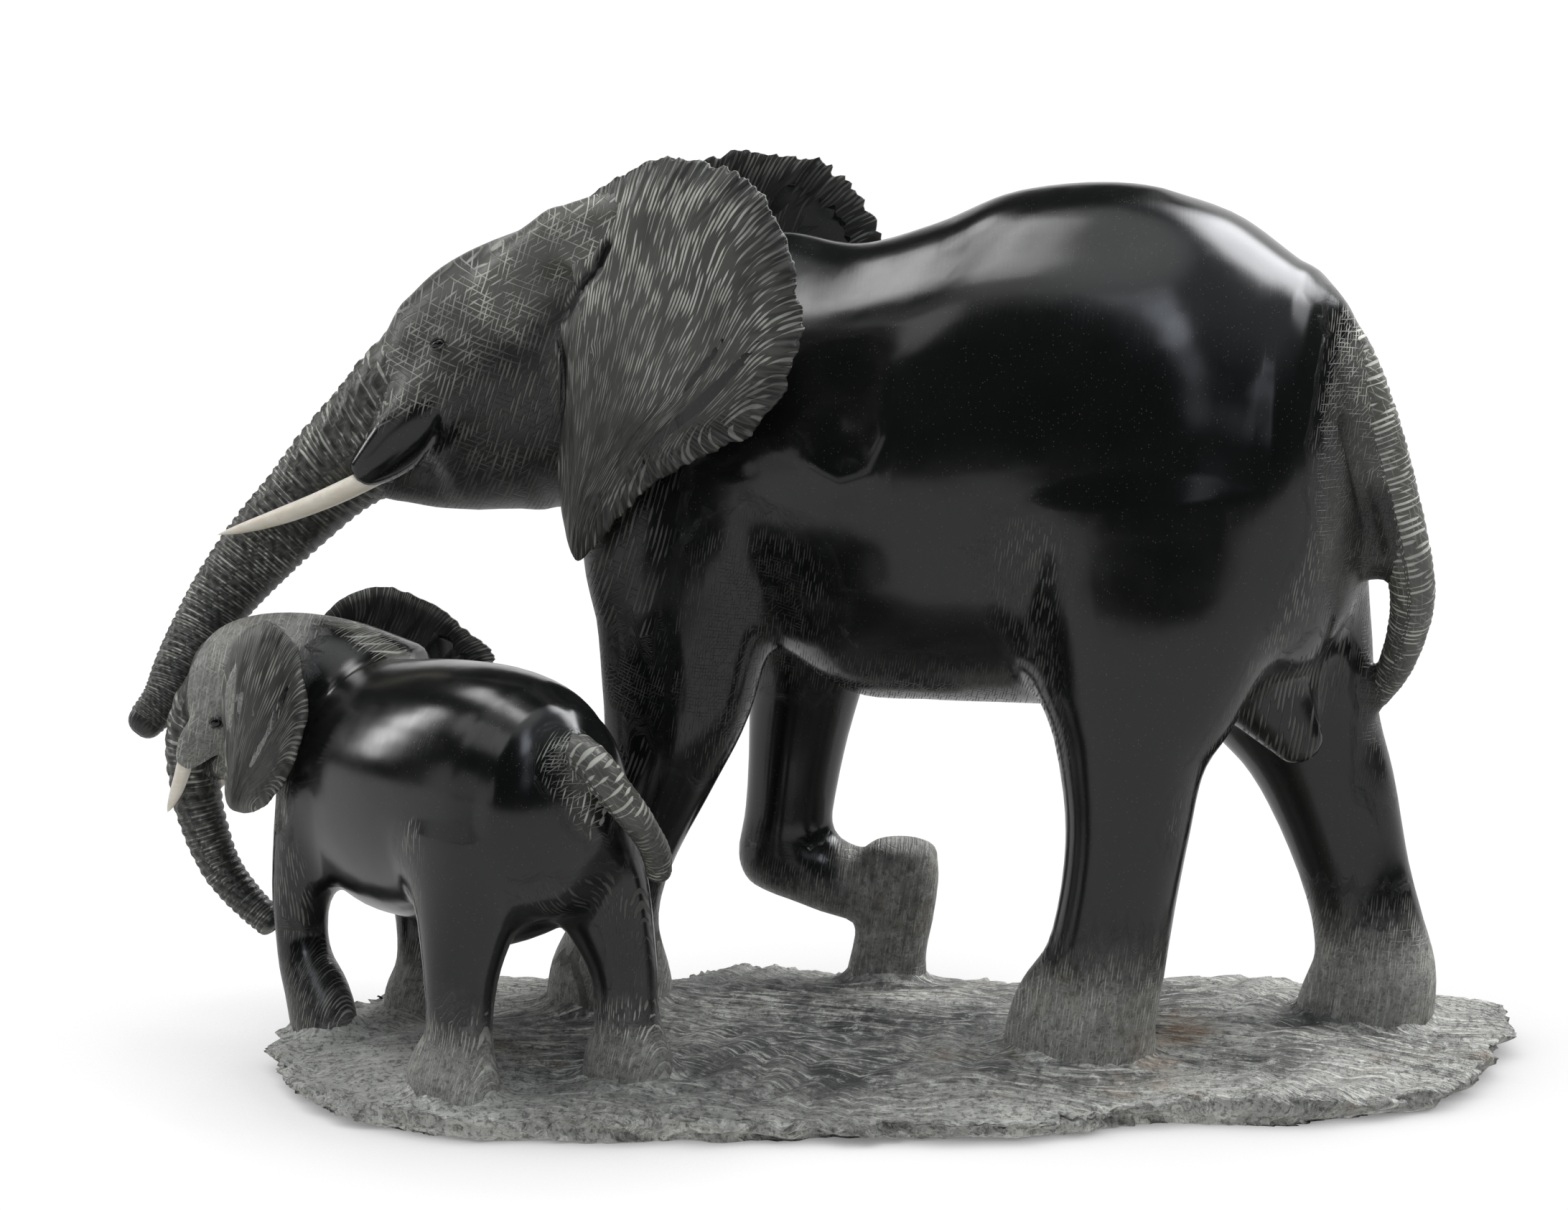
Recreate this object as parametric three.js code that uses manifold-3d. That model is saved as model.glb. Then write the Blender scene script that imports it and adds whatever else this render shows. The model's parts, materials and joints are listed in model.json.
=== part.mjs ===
// An elephant cow and her calf on an uneven base, carved from one block of dark stone, with four
// tusks of a pale material set into sockets. Millimetres, +Z up. The origin is the centre of the
// base's underside, +X runs along the base towards the cow's tail, and the front faces -Y.
// Each figure is drawn in a frame of its own: x forward, y to its left, z up, in shares of its
// height, from the top of the base.

import * as THREE from 'three';
import { mergeVertices } from 'three/addons/utils/BufferGeometryUtils.js';
import Module from 'manifold-3d';

// Driving dimensions
const baseLength = 630;
const baseDepth = 290;
const baseThickness = 20;
const baseRimDrop = 4.5;
const baseWave = 2.4;
const cowHeight = 430;
const cowTurn = 159;
const cowHeadTurn = 9;
const calfHeight = 210;
const calfTurn = 125;
const calfHeadTurn = 35;
const cowTuskLength = 102;
const cowTuskDiameter = 10;
const cowTuskSocket = 20;
const calfTuskLength = 38;
const calfTuskDiameter = 8;
const calfTuskSocket = 9;
const tuskBend = 14;
const tuskClearance = 0.3;
const earThickness = 9;
const calfEarThickness = 6;
const cowTrunkRidges = 18;
const calfTrunkRidges = 12;
const cowEarNotches = 14;
const calfEarNotches = 9;
const cowTailWrinkles = 9;
const tailRidge = 0.05;
const ridgeHeight = 0.05;
const calfRidgeHeight = 0.07;
const furrowDepth = 1.1;
const earNotchDepth = 0.022;
const earHubShare = 1.35;
const earRimShare = 0.75;
const tuskFullness = 2.2;
const tuskTaper = 0.7;
const tuskTipShare = 0.012;
const finestEdge = 0.7;
const rimPoints = 42;

// Where each figure stands, as shares of the base's length and depth from its centre
const cowPlace = [0.07, 0.14];
const calfPlace = [-0.362, -0.129];

// The cow's far ear sits lower than the near one, in shares of the cow's height
const farEarDrop = 0.021;

// The heads turn about a point in the neck, in shares of the figure's height
const cowNeckPoint = [0.378, 0.015];
const calfNeckPoint = [0.497, 0.012];

const wasm = await Module();
wasm.setup();

const LEFT = new THREE.Vector3(0, 1, 0);
const FORWARD = new THREE.Vector3(1, 0, 0);

const clamp = THREE.MathUtils.clamp;
const lerp = THREE.MathUtils.lerp;

// Frames

function figureFrame(name, place, turn, height) {
  const frame = new THREE.Group();
  frame.name = name;
  frame.position.set(place[0] * baseLength, place[1] * baseDepth, baseThickness);
  frame.rotation.z = THREE.MathUtils.degToRad(turn);
  frame.userData.height = height;
  return frame;
}

function headFrame(body, point, turn) {
  const frame = new THREE.Group();
  const height = body.userData.height;
  frame.position.set(point[0] * height, point[1] * height, 0);
  frame.rotation.z = THREE.MathUtils.degToRad(turn);
  frame.userData.height = height;
  body.add(frame);
  return frame;
}

const cow = figureFrame('cow', cowPlace, cowTurn, cowHeight);
const calf = figureFrame('calf', calfPlace, calfTurn, calfHeight);
const cowHead = headFrame(cow, cowNeckPoint, cowHeadTurn);
const calfHead = headFrame(calf, calfNeckPoint, calfHeadTurn);
cow.updateMatrixWorld(true);
calf.updateMatrixWorld(true);

// Solids and booleans

function solidOf(geometry, matrix) {
  const bare = geometry.clone();
  bare.deleteAttribute('normal');
  bare.deleteAttribute('uv');
  const merged = mergeVertices(bare, 1e-4);
  if (matrix) merged.applyMatrix4(matrix);
  return new wasm.Manifold(new wasm.Mesh({
    numProp: 3,
    vertProperties: new Float32Array(merged.attributes.position.array),
    triVerts: new Uint32Array(merged.index.array),
  }));
}

function geometryOf(solid) {
  const mesh = solid.getMesh();
  const geometry = new THREE.BufferGeometry();
  geometry.setAttribute('position', new THREE.BufferAttribute(mesh.vertProperties, 3));
  geometry.setIndex(new THREE.BufferAttribute(mesh.triVerts, 1));
  return geometry;
}

// Joining and cutting leave edges far shorter than the carving needs. The two ends of each become
// one point, where the faces around it still close up.
function withoutShortEdges(geometry, shortest) {
  const position = geometry.attributes.position;
  const count = geometry.index.count / 3;
  const points = Array.from(
    { length: position.count }, (_, i) => new THREE.Vector3().fromBufferAttribute(position, i));
  const faces = Array.from({ length: count }, (_, f) => [0, 1, 2].map((k) => geometry.index.getX(3 * f + k)));
  const around = points.map(() => new Set());
  faces.forEach((face, f) => face.forEach((v) => around[v].add(f)));
  const neighbours = (v) => new Set([...around[v]].flatMap((f) => faces[f]).filter((w) => w !== v));
  const merge = (kept, gone) => {
    for (const f of [...around[gone]]) {
      if (faces[f].includes(kept)) {
        faces[f].forEach((v) => around[v].delete(f));
        faces[f] = null;
      } else {
        faces[f] = faces[f].map((v) => (v === gone ? kept : v));
        around[kept].add(f);
        around[gone].delete(f);
      }
    }
  };
  const closeTo = (a) => [...neighbours(a)].find((b) => {
    if (points[a].distanceTo(points[b]) >= shortest) return false;
    const others = neighbours(b);
    return [...neighbours(a)].filter((v) => others.has(v)).length === 2;
  });
  for (let a = 0; a < points.length; a += 1) {
    for (let b = closeTo(a); b !== undefined; b = closeTo(a)) merge(a, b);
  }
  const used = points.map((_, v) => v).filter((v) => around[v].size);
  const renumbered = new Map(used.map((v, i) => [v, i]));
  const triangles = faces.filter(Boolean).flat().map((v) => renumbered.get(v));
  return indexed(used.map((v) => points[v]), triangles);
}

function indexed(points, triangles) {
  const geometry = new THREE.BufferGeometry();
  const numbers = points.flatMap((p) => [p.x, p.y, p.z]);
  geometry.setAttribute('position', new THREE.Float32BufferAttribute(numbers, 3));
  geometry.setIndex(triangles);
  return geometry;
}

// A skin over rings of equal length, closed by a point at each end
function skin(startPoint, rings, endPoint) {
  const sides = rings[0].length;
  const points = [startPoint, ...rings.flat(), endPoint];
  const at = (ring, side) => 1 + ring * sides + (side % sides);
  const last = points.length - 1;
  const triangles = [];
  for (let side = 0; side < sides; side += 1) {
    triangles.push(0, at(0, side + 1), at(0, side));
    triangles.push(last, at(rings.length - 1, side), at(rings.length - 1, side + 1));
    for (let ring = 0; ring + 1 < rings.length; ring += 1) {
      triangles.push(at(ring, side), at(ring, side + 1), at(ring + 1, side));
      triangles.push(at(ring, side + 1), at(ring + 1, side + 1), at(ring + 1, side));
    }
  }
  return indexed(points, triangles);
}

// A round limb, trunk or body through stations [forward, left, up, half width, half depth], all in
// shares of the figure's height. The ends are domed by their cap length. ridge(u) lifts a ring.
function loft(frame, stations, options = {}) {
  const {
    sides = 12, rings = 10, startCap = 0.02, endCap = 0.02, capRings = 1, upright = false, ridge = () => 1,
  } = options;
  const height = frame.userData.height;
  const spine = new THREE.CatmullRomCurve3(
    stations.map((s) => new THREE.Vector3(s[0], s[1], s[2]).multiplyScalar(height)), false, 'catmullrom');
  const sizes = new THREE.CatmullRomCurve3(
    stations.map((s) => new THREE.Vector3(s[3], s[4], 0).multiplyScalar(height)), false, 'catmullrom');
  const ringAt = (u, along, shrink) => {
    const tangent = upright ? FORWARD : spine.getTangent(u);
    const side = LEFT.clone().addScaledVector(tangent, -LEFT.dot(tangent)).normalize();
    const deep = new THREE.Vector3().crossVectors(tangent, side);
    const size = sizes.getPoint(u).multiplyScalar(shrink * ridge(u));
    const centre = spine.getPoint(u).addScaledVector(spine.getTangent(u), along * height);
    return Array.from({ length: sides }, (_, i) => {
      const angle = (2 * Math.PI * i) / sides;
      return centre.clone()
        .addScaledVector(side, size.x * Math.cos(angle))
        .addScaledVector(deep, size.y * Math.sin(angle));
    });
  };
  const tipAt = (u, along) => spine.getPoint(u).addScaledVector(spine.getTangent(u), along * height);
  const all = [];
  for (let i = 1; i <= capRings; i += 1) {
    const angle = (Math.PI / 2) * (1 - i / (capRings + 1));
    all.push(ringAt(0, -startCap * Math.sin(angle), Math.cos(angle)));
  }
  for (let i = 0; i <= rings; i += 1) all.push(ringAt(i / rings, 0, 1));
  for (let i = capRings; i >= 1; i -= 1) {
    const angle = (Math.PI / 2) * (1 - i / (capRings + 1));
    all.push(ringAt(1, endCap * Math.sin(angle), Math.cos(angle)));
  }
  return solidOf(skin(tipAt(0, -startCap), all, tipAt(1, endCap)), frame.matrixWorld);
}

// An ear: a bent sheet inside a closed outline of [forward, up] shares. lateral(x, z) places its
// middle surface, notches cut its rim, and furrows fan out from the hub.
function leaf(frame, outline, hub, lateral, thickness, notches, side) {
  const height = frame.userData.height;
  const spokes = 2 * notches;
  const steps = [0.35, 0.7, 1];
  const rim = new THREE.CatmullRomCurve3(
    outline.map((p) => new THREE.Vector3(p[0], 0, p[1])), true, 'catmullrom');
  const skinPoint = (spoke, share, face) => {
    const edge = rim.getPoint(spoke / spokes);
    const tooth = spoke % 2 ? 1 : -1;
    const reach = share * (1 + earNotchDepth * tooth * share ** 4);
    const x = lerp(hub[0], edge.x, reach);
    const z = lerp(hub[1], edge.z, reach);
    const furrow = furrowDepth * tooth * Math.sin(Math.PI * share);
    const half = 0.5 * (thickness * lerp(earHubShare, earRimShare, share) + furrow);
    const y = lateral(x, z, share) * height + face * half;
    return new THREE.Vector3(x * height, side * y, z * height);
  };
  const hubPoint = (face) => {
    const y = lateral(hub[0], hub[1], 0) * height + face * 0.5 * earHubShare * thickness;
    return new THREE.Vector3(hub[0] * height, side * y, hub[1] * height);
  };
  const first = side < 0 ? spokes : 0;
  const ringOf = (share, face) => Array.from(
    { length: spokes }, (_, i) => skinPoint(first + side * i, share, face));
  const rings = [...steps.map((s) => ringOf(s, 1)), ...[...steps].reverse().map((s) => ringOf(s, -1))];
  return solidOf(skin(hubPoint(1), rings, hubPoint(-1)), frame.matrixWorld);
}

function blob(frame, place, size) {
  const height = frame.userData.height;
  const geometry = new THREE.SphereGeometry(1, 8, 5);
  geometry.scale(size[0] * height, size[1] * height, size[2] * height);
  geometry.translate(place[0] * height, place[1] * height, place[2] * height);
  return solidOf(geometry, frame.matrixWorld);
}

function joined(solids) {
  return solids.reduce((whole, solid) => whole.add(solid));
}

// The base: an irregular slab with a chipped, undercut side, shallow chisel waves on its top and a
// flat underside
function baseSlab() {
  const outline = [
    [-0.51, 0.03], [-0.5, -0.16], [-0.468, -0.33], [-0.4, -0.46], [-0.3, -0.515], [-0.11, -0.515],
    [0.095, -0.505], [0.195, -0.41], [0.31, -0.41], [0.425, -0.30], [0.47, -0.13], [0.505, 0.13],
    [0.48, 0.26], [0.34, 0.41], [0.24, 0.435], [0.115, 0.40], [-0.065, 0.48], [-0.13, 0.50],
    [-0.222, 0.42], [-0.333, 0.435], [-0.416, 0.335], [-0.46, 0.22],
  ];
  const rim = new THREE.CatmullRomCurve3(
    outline.map((p) => new THREE.Vector3(p[0] * baseLength, p[1] * baseDepth, 0)), true, 'centripetal');
  const chip = (i) => 1 + 0.008 * Math.sin(i * 2.4) + 0.006 * Math.sin(i * 5.3);
  const wave = (p) => 0.5 * baseWave * (Math.sin(p.x / 23 + Math.sin(p.y / 31)) + Math.sin(p.y / 17 + p.x / 71));
  const drop = (share) => baseRimDrop * THREE.MathUtils.smoothstep(share, 0.5, 1);
  const topAt = (p, share) => baseThickness - drop(share) + wave(p);
  const ringAt = (share, z) => Array.from({ length: rimPoints }, (_, i) => {
    const p = rim.getPoint(1 - i / rimPoints).multiplyScalar(share * chip(i));
    p.z = z === undefined ? topAt(p, share) : z;
    return p;
  });
  const inner = [0.3, 0.58, 0.82, 0.95].map((share) => ringAt(share));
  const side = [ringAt(1, 0.42 * baseThickness), ringAt(0.99, 0.12 * baseThickness), ringAt(0.965, 0)];
  const centre = new THREE.Vector3(0, 0, baseThickness);
  return solidOf(skin(centre, [...inner, ...side], new THREE.Vector3(0, 0, 0)));
}

// The cow

function cowBody() {
  const trunkOfBody = loft(cow, [
    [-0.37, 0, 0.678, 0.172, 0.243], [-0.28, 0, 0.687, 0.205, 0.29], [-0.16, 0, 0.693, 0.218, 0.308],
    [-0.035, 0, 0.684, 0.224, 0.304], [0.06, 0, 0.663, 0.223, 0.286], [0.16, 0, 0.65, 0.207, 0.271],
    [0.25, 0, 0.678, 0.178, 0.248], [0.33, 0.005, 0.70, 0.15, 0.22], [0.40, 0.015, 0.72, 0.135, 0.2],
  ], { sides: 18, rings: 11, startCap: 0.088, endCap: 0.05, capRings: 3, upright: true });
  const flap = loft(cow, [
    [-0.29, -0.03, 0.47, 0.08, 0.09], [-0.34, -0.03, 0.40, 0.05, 0.055], [-0.38, -0.03, 0.345, 0.02, 0.03],
  ], { sides: 6, rings: 3 });
  return [trunkOfBody, flap];
}

function cowLegs() {
  const nearHind = loft(cow, [
    [-0.215, 0.10, 0.64, 0.115, 0.17], [-0.228, 0.115, 0.52, 0.115, 0.16], [-0.227, 0.13, 0.42, 0.098, 0.123],
    [-0.222, 0.137, 0.35, 0.08, 0.088], [-0.219, 0.14, 0.268, 0.068, 0.073], [-0.208, 0.14, 0.18, 0.063, 0.068],
    [-0.192, 0.138, 0.10, 0.067, 0.072], [-0.168, 0.135, 0.035, 0.082, 0.087], [-0.16, 0.133, -0.015, 0.087, 0.091],
  ], { sides: 11, rings: 8 });
  const farHind = loft(cow, [
    [-0.25, -0.10, 0.64, 0.115, 0.16], [-0.285, -0.12, 0.52, 0.112, 0.15], [-0.325, -0.14, 0.41, 0.098, 0.118],
    [-0.36, -0.152, 0.33, 0.08, 0.088], [-0.387, -0.16, 0.26, 0.07, 0.077], [-0.415, -0.165, 0.165, 0.062, 0.066],
    [-0.433, -0.165, 0.098, 0.064, 0.067], [-0.44, -0.165, 0.045, 0.074, 0.076], [-0.43, -0.165, -0.015, 0.082, 0.085],
  ], { sides: 11, rings: 8 });
  const nearFront = loft(cow, [
    [0.32, 0.085, 0.66, 0.10, 0.15], [0.342, 0.10, 0.55, 0.105, 0.137], [0.344, 0.12, 0.46, 0.09, 0.108],
    [0.351, 0.13, 0.378, 0.078, 0.092], [0.371, 0.13, 0.30, 0.066, 0.072], [0.400, 0.13, 0.215, 0.053, 0.056],
    [0.418, 0.13, 0.155, 0.048, 0.049], [0.43, 0.13, 0.10, 0.052, 0.052], [0.438, 0.13, 0.04, 0.07, 0.073],
    [0.44, 0.13, -0.015, 0.076, 0.08],
  ], { sides: 11, rings: 9 });
  const farFrontUpper = loft(cow, [
    [0.26, -0.09, 0.62, 0.10, 0.13], [0.272, -0.105, 0.47, 0.09, 0.105], [0.275, -0.115, 0.38, 0.07, 0.075],
    [0.288, -0.12, 0.30, 0.06, 0.063], [0.298, -0.12, 0.22, 0.054, 0.056], [0.308, -0.12, 0.142, 0.05, 0.054],
  ], { sides: 12, rings: 8, endCap: 0.045, capRings: 2 });
  const farFrontShank = loft(cow, [
    [0.322, -0.12, 0.143, 0.045, 0.048], [0.25, -0.12, 0.118, 0.045, 0.05], [0.19, -0.12, 0.106, 0.05, 0.058],
    [0.128, -0.12, 0.122, 0.056, 0.06],
  ], { sides: 10, rings: 5, startCap: 0.03, endCap: 0.008 });
  const farFrontPost = loft(cow, [
    [0.155, -0.12, 0.115, 0.045, 0.048], [0.17, -0.12, 0.055, 0.046, 0.05], [0.172, -0.12, -0.015, 0.05, 0.054],
  ], { sides: 10, rings: 3 });
  return [nearHind, farHind, nearFront, farFrontUpper, farFrontShank, farFrontPost];
}

function cowTail() {
  const wrinkle = (u) => 1 + tailRidge * Math.sin(2 * Math.PI * cowTailWrinkles * u);
  const tail = loft(cow, [
    [-0.40, 0, 0.85, 0.035, 0.035], [-0.437, 0, 0.805, 0.031, 0.03], [-0.459, 0, 0.75, 0.032, 0.031],
    [-0.475, -0.006, 0.70, 0.03, 0.03], [-0.487, -0.02, 0.646, 0.028, 0.029], [-0.499, -0.04, 0.578, 0.027, 0.028],
    [-0.501, -0.065, 0.525, 0.025, 0.026], [-0.489, -0.09, 0.475, 0.022, 0.023], [-0.47, -0.112, 0.43, 0.018, 0.02],
    [-0.448, -0.128, 0.395, 0.014, 0.016],
  ], { sides: 8, rings: 2 * cowTailWrinkles, ridge: wrinkle });
  const web = loft(cow, [
    [-0.40, -0.01, 0.80, 0.05, 0.05], [-0.435, -0.015, 0.70, 0.04, 0.05], [-0.455, -0.03, 0.61, 0.03, 0.045],
    [-0.45, -0.045, 0.57, 0.02, 0.03],
  ], { sides: 6, rings: 4 });
  return [tail, web];
}

function cowHeadSolids() {
  const skull = loft(cowHead, [
    [-0.08, 0, 0.712, 0.15, 0.20], [0.02, 0, 0.745, 0.145, 0.20], [0.10, 0, 0.769, 0.138, 0.19],
    [0.17, 0, 0.76, 0.128, 0.174], [0.24, 0, 0.743, 0.116, 0.159], [0.30, 0, 0.72, 0.098, 0.134],
  ], { sides: 16, rings: 7, endCap: 0.055, capRings: 2 });
  const jaw = loft(cowHead, [
    [0.20, 0, 0.655, 0.08, 0.067], [0.30, 0, 0.628, 0.05, 0.047], [0.37, 0, 0.616, 0.03, 0.027],
  ], { sides: 8, rings: 3, endCap: 0.02 });
  const trunkRidge = (u) => 1 + ridgeHeight * Math.sin(2 * Math.PI * cowTrunkRidges * u) * clamp(4 * u, 0, 1);
  const trunk = loft(cowHead, [
    [0.20, 0, 0.775, 0.105, 0.12], [0.27, 0, 0.76, 0.092, 0.104], [0.333, 0, 0.7245, 0.08, 0.088],
    [0.386, 0, 0.679, 0.067, 0.076], [0.4455, 0, 0.631, 0.056, 0.063], [0.49, 0.01, 0.584, 0.049, 0.054],
    [0.533, 0.03, 0.536, 0.044, 0.049], [0.574, 0.055, 0.482, 0.038, 0.042], [0.603, 0.08, 0.432, 0.033, 0.036],
    [0.622, 0.105, 0.391, 0.029, 0.031], [0.635, 0.125, 0.355, 0.025, 0.027], [0.654, 0.14, 0.328, 0.022, 0.023],
  ], { sides: 10, rings: 2 * cowTrunkRidges, ridge: trunkRidge });
  const sheath = (side) => loft(cowHead, [
    [0.22, side * 0.07, 0.775, 0.05, 0.06], [0.30, side * 0.082, 0.715, 0.045, 0.05],
    [0.36, side * 0.085, 0.66, 0.03, 0.034], [0.39, side * 0.085, 0.636, 0.02, 0.022],
  ], { sides: 8, rings: 4, endCap: 0.01 });
  const eye = (side) => blob(cowHead, [0.283, side * 0.108, 0.784], [0.022, 0.014, 0.016]);
  const outline = [
    [0.118, 0.955], [0.061, 1.0], [-0.005, 1.03], [-0.059, 1.028], [-0.111, 1.017], [-0.147, 0.988],
    [-0.18, 0.925], [-0.194, 0.848], [-0.175, 0.78], [-0.134, 0.725], [-0.093, 0.704], [-0.042, 0.676],
    [0, 0.65], [0.042, 0.609], [0.079, 0.567], [0.104, 0.556], [0.125, 0.63], [0.128, 0.731],
    [0.135, 0.82], [0.105, 0.90],
  ];
  const lateral = (x, z, share) => 0.135 + 0.47 * (0.12 - x) + 0.1 * (0.8 - z) + 0.022 * (1 - share * share);
  const farOutline = outline.map(([x, z]) => [x, z - farEarDrop]);
  const nearEar = leaf(cowHead, outline, [0, 0.83], lateral, earThickness, cowEarNotches, 1);
  const farEar = leaf(cowHead, farOutline, [0, 0.83], lateral, earThickness, cowEarNotches, -1);
  return [skull, jaw, trunk, sheath(1), sheath(-1), eye(1), eye(-1), nearEar, farEar];
}

// The calf

function calfBody() {
  const flap = loft(calf, [
    [-0.22, -0.02, 0.43, 0.14, 0.12], [-0.27, -0.03, 0.33, 0.12, 0.07],
  ], { sides: 8, rings: 2 });
  return [flap, loft(calf, [
    [-0.45, 0, 0.665, 0.20, 0.26], [-0.36, 0, 0.665, 0.235, 0.288], [-0.22, 0, 0.65, 0.255, 0.312],
    [-0.05, 0, 0.632, 0.262, 0.318], [0.12, 0, 0.61, 0.255, 0.318], [0.28, 0, 0.595, 0.235, 0.305],
    [0.40, 0, 0.605, 0.20, 0.265], [0.48, 0, 0.635, 0.17, 0.232], [0.56, 0.02, 0.68, 0.17, 0.21],
  ], { sides: 16, rings: 9, startCap: 0.13, endCap: 0.05, capRings: 3, upright: true })];
}

function calfLegs() {
  const nearHind = loft(calf, [
    [-0.29, 0.13, 0.60, 0.13, 0.19], [-0.30, 0.16, 0.42, 0.12, 0.15], [-0.32, 0.175, 0.28, 0.09, 0.10],
    [-0.33, 0.18, 0.18, 0.078, 0.082], [-0.325, 0.182, 0.11, 0.082, 0.088], [-0.31, 0.185, 0.04, 0.105, 0.115],
    [-0.305, 0.188, -0.05, 0.115, 0.125],
  ], { sides: 10, rings: 8 });
  const farHind = loft(calf, [
    [-0.34, -0.13, 0.60, 0.13, 0.18], [-0.40, -0.17, 0.42, 0.11, 0.13], [-0.438, -0.2, 0.27, 0.082, 0.088],
    [-0.445, -0.205, 0.17, 0.076, 0.08], [-0.447, -0.21, 0.11, 0.08, 0.085], [-0.44, -0.215, 0.04, 0.102, 0.11],
    [-0.435, -0.215, -0.05, 0.108, 0.115],
  ], { sides: 10, rings: 8 });
  const nearFront = loft(calf, [
    [0.37, 0.11, 0.60, 0.13, 0.15], [0.42, 0.135, 0.44, 0.105, 0.11], [0.463, 0.15, 0.31, 0.076, 0.076],
    [0.47, 0.15, 0.21, 0.066, 0.064], [0.45, 0.15, 0.135, 0.068, 0.07], [0.4, 0.15, 0.07, 0.078, 0.083],
    [0.37, 0.15, 0.01, 0.082, 0.087], [0.365, 0.15, -0.05, 0.082, 0.087],
  ], { sides: 10, rings: 9 });
  const farFront = loft(calf, [
    [0.35, -0.10, 0.58, 0.12, 0.14], [0.365, -0.12, 0.40, 0.09, 0.09], [0.385, -0.13, 0.24, 0.058, 0.058],
    [0.378, -0.13, 0.12, 0.057, 0.058], [0.375, -0.128, 0.04, 0.085, 0.09], [0.372, -0.127, -0.05, 0.093, 0.098],
  ], { sides: 10, rings: 7 });
  return [nearHind, farHind, nearFront, farFront];
}

function calfTail() {
  return [loft(calf, [
    [-0.48, 0, 0.83, 0.045, 0.045], [-0.58, -0.02, 0.80, 0.045, 0.04], [-0.625, -0.06, 0.73, 0.042, 0.038],
    [-0.632, -0.11, 0.665, 0.038, 0.036], [-0.62, -0.155, 0.61, 0.034, 0.034], [-0.602, -0.19, 0.56, 0.034, 0.032],
    [-0.575, -0.215, 0.51, 0.03, 0.03],
  ], { sides: 7, rings: 9 })];
}

function calfHeadSolids() {
  const skull = loft(calfHead, [
    [-0.14, 0, 0.71, 0.20, 0.215], [0, 0, 0.75, 0.205, 0.215], [0.12, 0, 0.773, 0.20, 0.205],
    [0.22, 0, 0.775, 0.183, 0.19], [0.29, 0, 0.75, 0.158, 0.168],
  ], { sides: 14, rings: 5, endCap: 0.09, capRings: 2 });
  const jaw = loft(calfHead, [
    [0.16, 0, 0.65, 0.12, 0.095], [0.26, 0, 0.60, 0.085, 0.06], [0.33, 0, 0.578, 0.05, 0.034],
  ], { sides: 8, rings: 3, endCap: 0.03 });
  const trunkRidge = (u) => {
    const rise = calfRidgeHeight * clamp(4 * u, 0, 1);
    return 1 + rise * Math.sin(2 * Math.PI * calfTrunkRidges * u);
  };
  const trunk = loft(calfHead, [
    [0.27, 0, 0.80, 0.12, 0.11], [0.36, 0, 0.735, 0.10, 0.085], [0.408, 0, 0.64, 0.08, 0.068],
    [0.404, 0, 0.506, 0.068, 0.06], [0.379, 0, 0.407, 0.06, 0.055], [0.338, 0, 0.317, 0.052, 0.049],
    [0.276, 0, 0.246, 0.046, 0.043], [0.205, 0, 0.187, 0.04, 0.038],
  ], { sides: 8, rings: 2 * calfTrunkRidges, ridge: trunkRidge });
  const sheath = (side) => loft(calfHead, [
    [0.27, side * 0.12, 0.73, 0.05, 0.06], [0.33, side * 0.135, 0.66, 0.045, 0.05],
    [0.365, side * 0.14, 0.61, 0.026, 0.028],
  ], { sides: 8, rings: 3, endCap: 0.01 });
  const eye = (side) => blob(calfHead, [0.25, side * 0.168, 0.78], [0.03, 0.02, 0.022]);
  const earRoot = (side) => blob(calfHead, [0.13, side * 0.185, 0.78], [0.075, 0.08, 0.14]);
  const nearOutline = [
    [0.197, 0.931], [0.111, 1.017], [0.057, 0.988], [-0.01, 0.942], [-0.045, 0.86], [-0.05, 0.77],
    [-0.02, 0.68], [0.03, 0.60], [0.09, 0.545], [0.155, 0.525], [0.207, 0.547], [0.215, 0.66],
    [0.232, 0.812],
  ];
  const nearLateral = (x, z, share) => 0.19 + 0.42 * (0.22 - x) + 0.12 * (0.8 - z) + 0.035 * (1 - share * share);
  const farOutline = [
    [0.17, 0.9], [0.11, 0.975], [0.028, 1.0], [-0.052, 0.96], [-0.12, 0.907], [-0.165, 0.855], [-0.205, 0.80],
    [-0.18, 0.73], [-0.11, 0.65], [-0.02, 0.585], [0.07, 0.54], [0.15, 0.55], [0.20, 0.66], [0.21, 0.8],
  ];
  const farLateral = (x, z, share) => 0.19 + 0.70 * (0.2 - x) + 0.03 * (1 - share * share);
  const nearEar = leaf(calfHead, nearOutline, [0.09, 0.78], nearLateral, calfEarThickness, calfEarNotches, 1);
  const farEar = leaf(calfHead, farOutline, [0.02, 0.78], farLateral, calfEarThickness, calfEarNotches, -1);
  return [skull, jaw, trunk, sheath(1), sheath(-1), eye(1), eye(-1), earRoot(1), earRoot(-1), nearEar, farEar];
}

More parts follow.
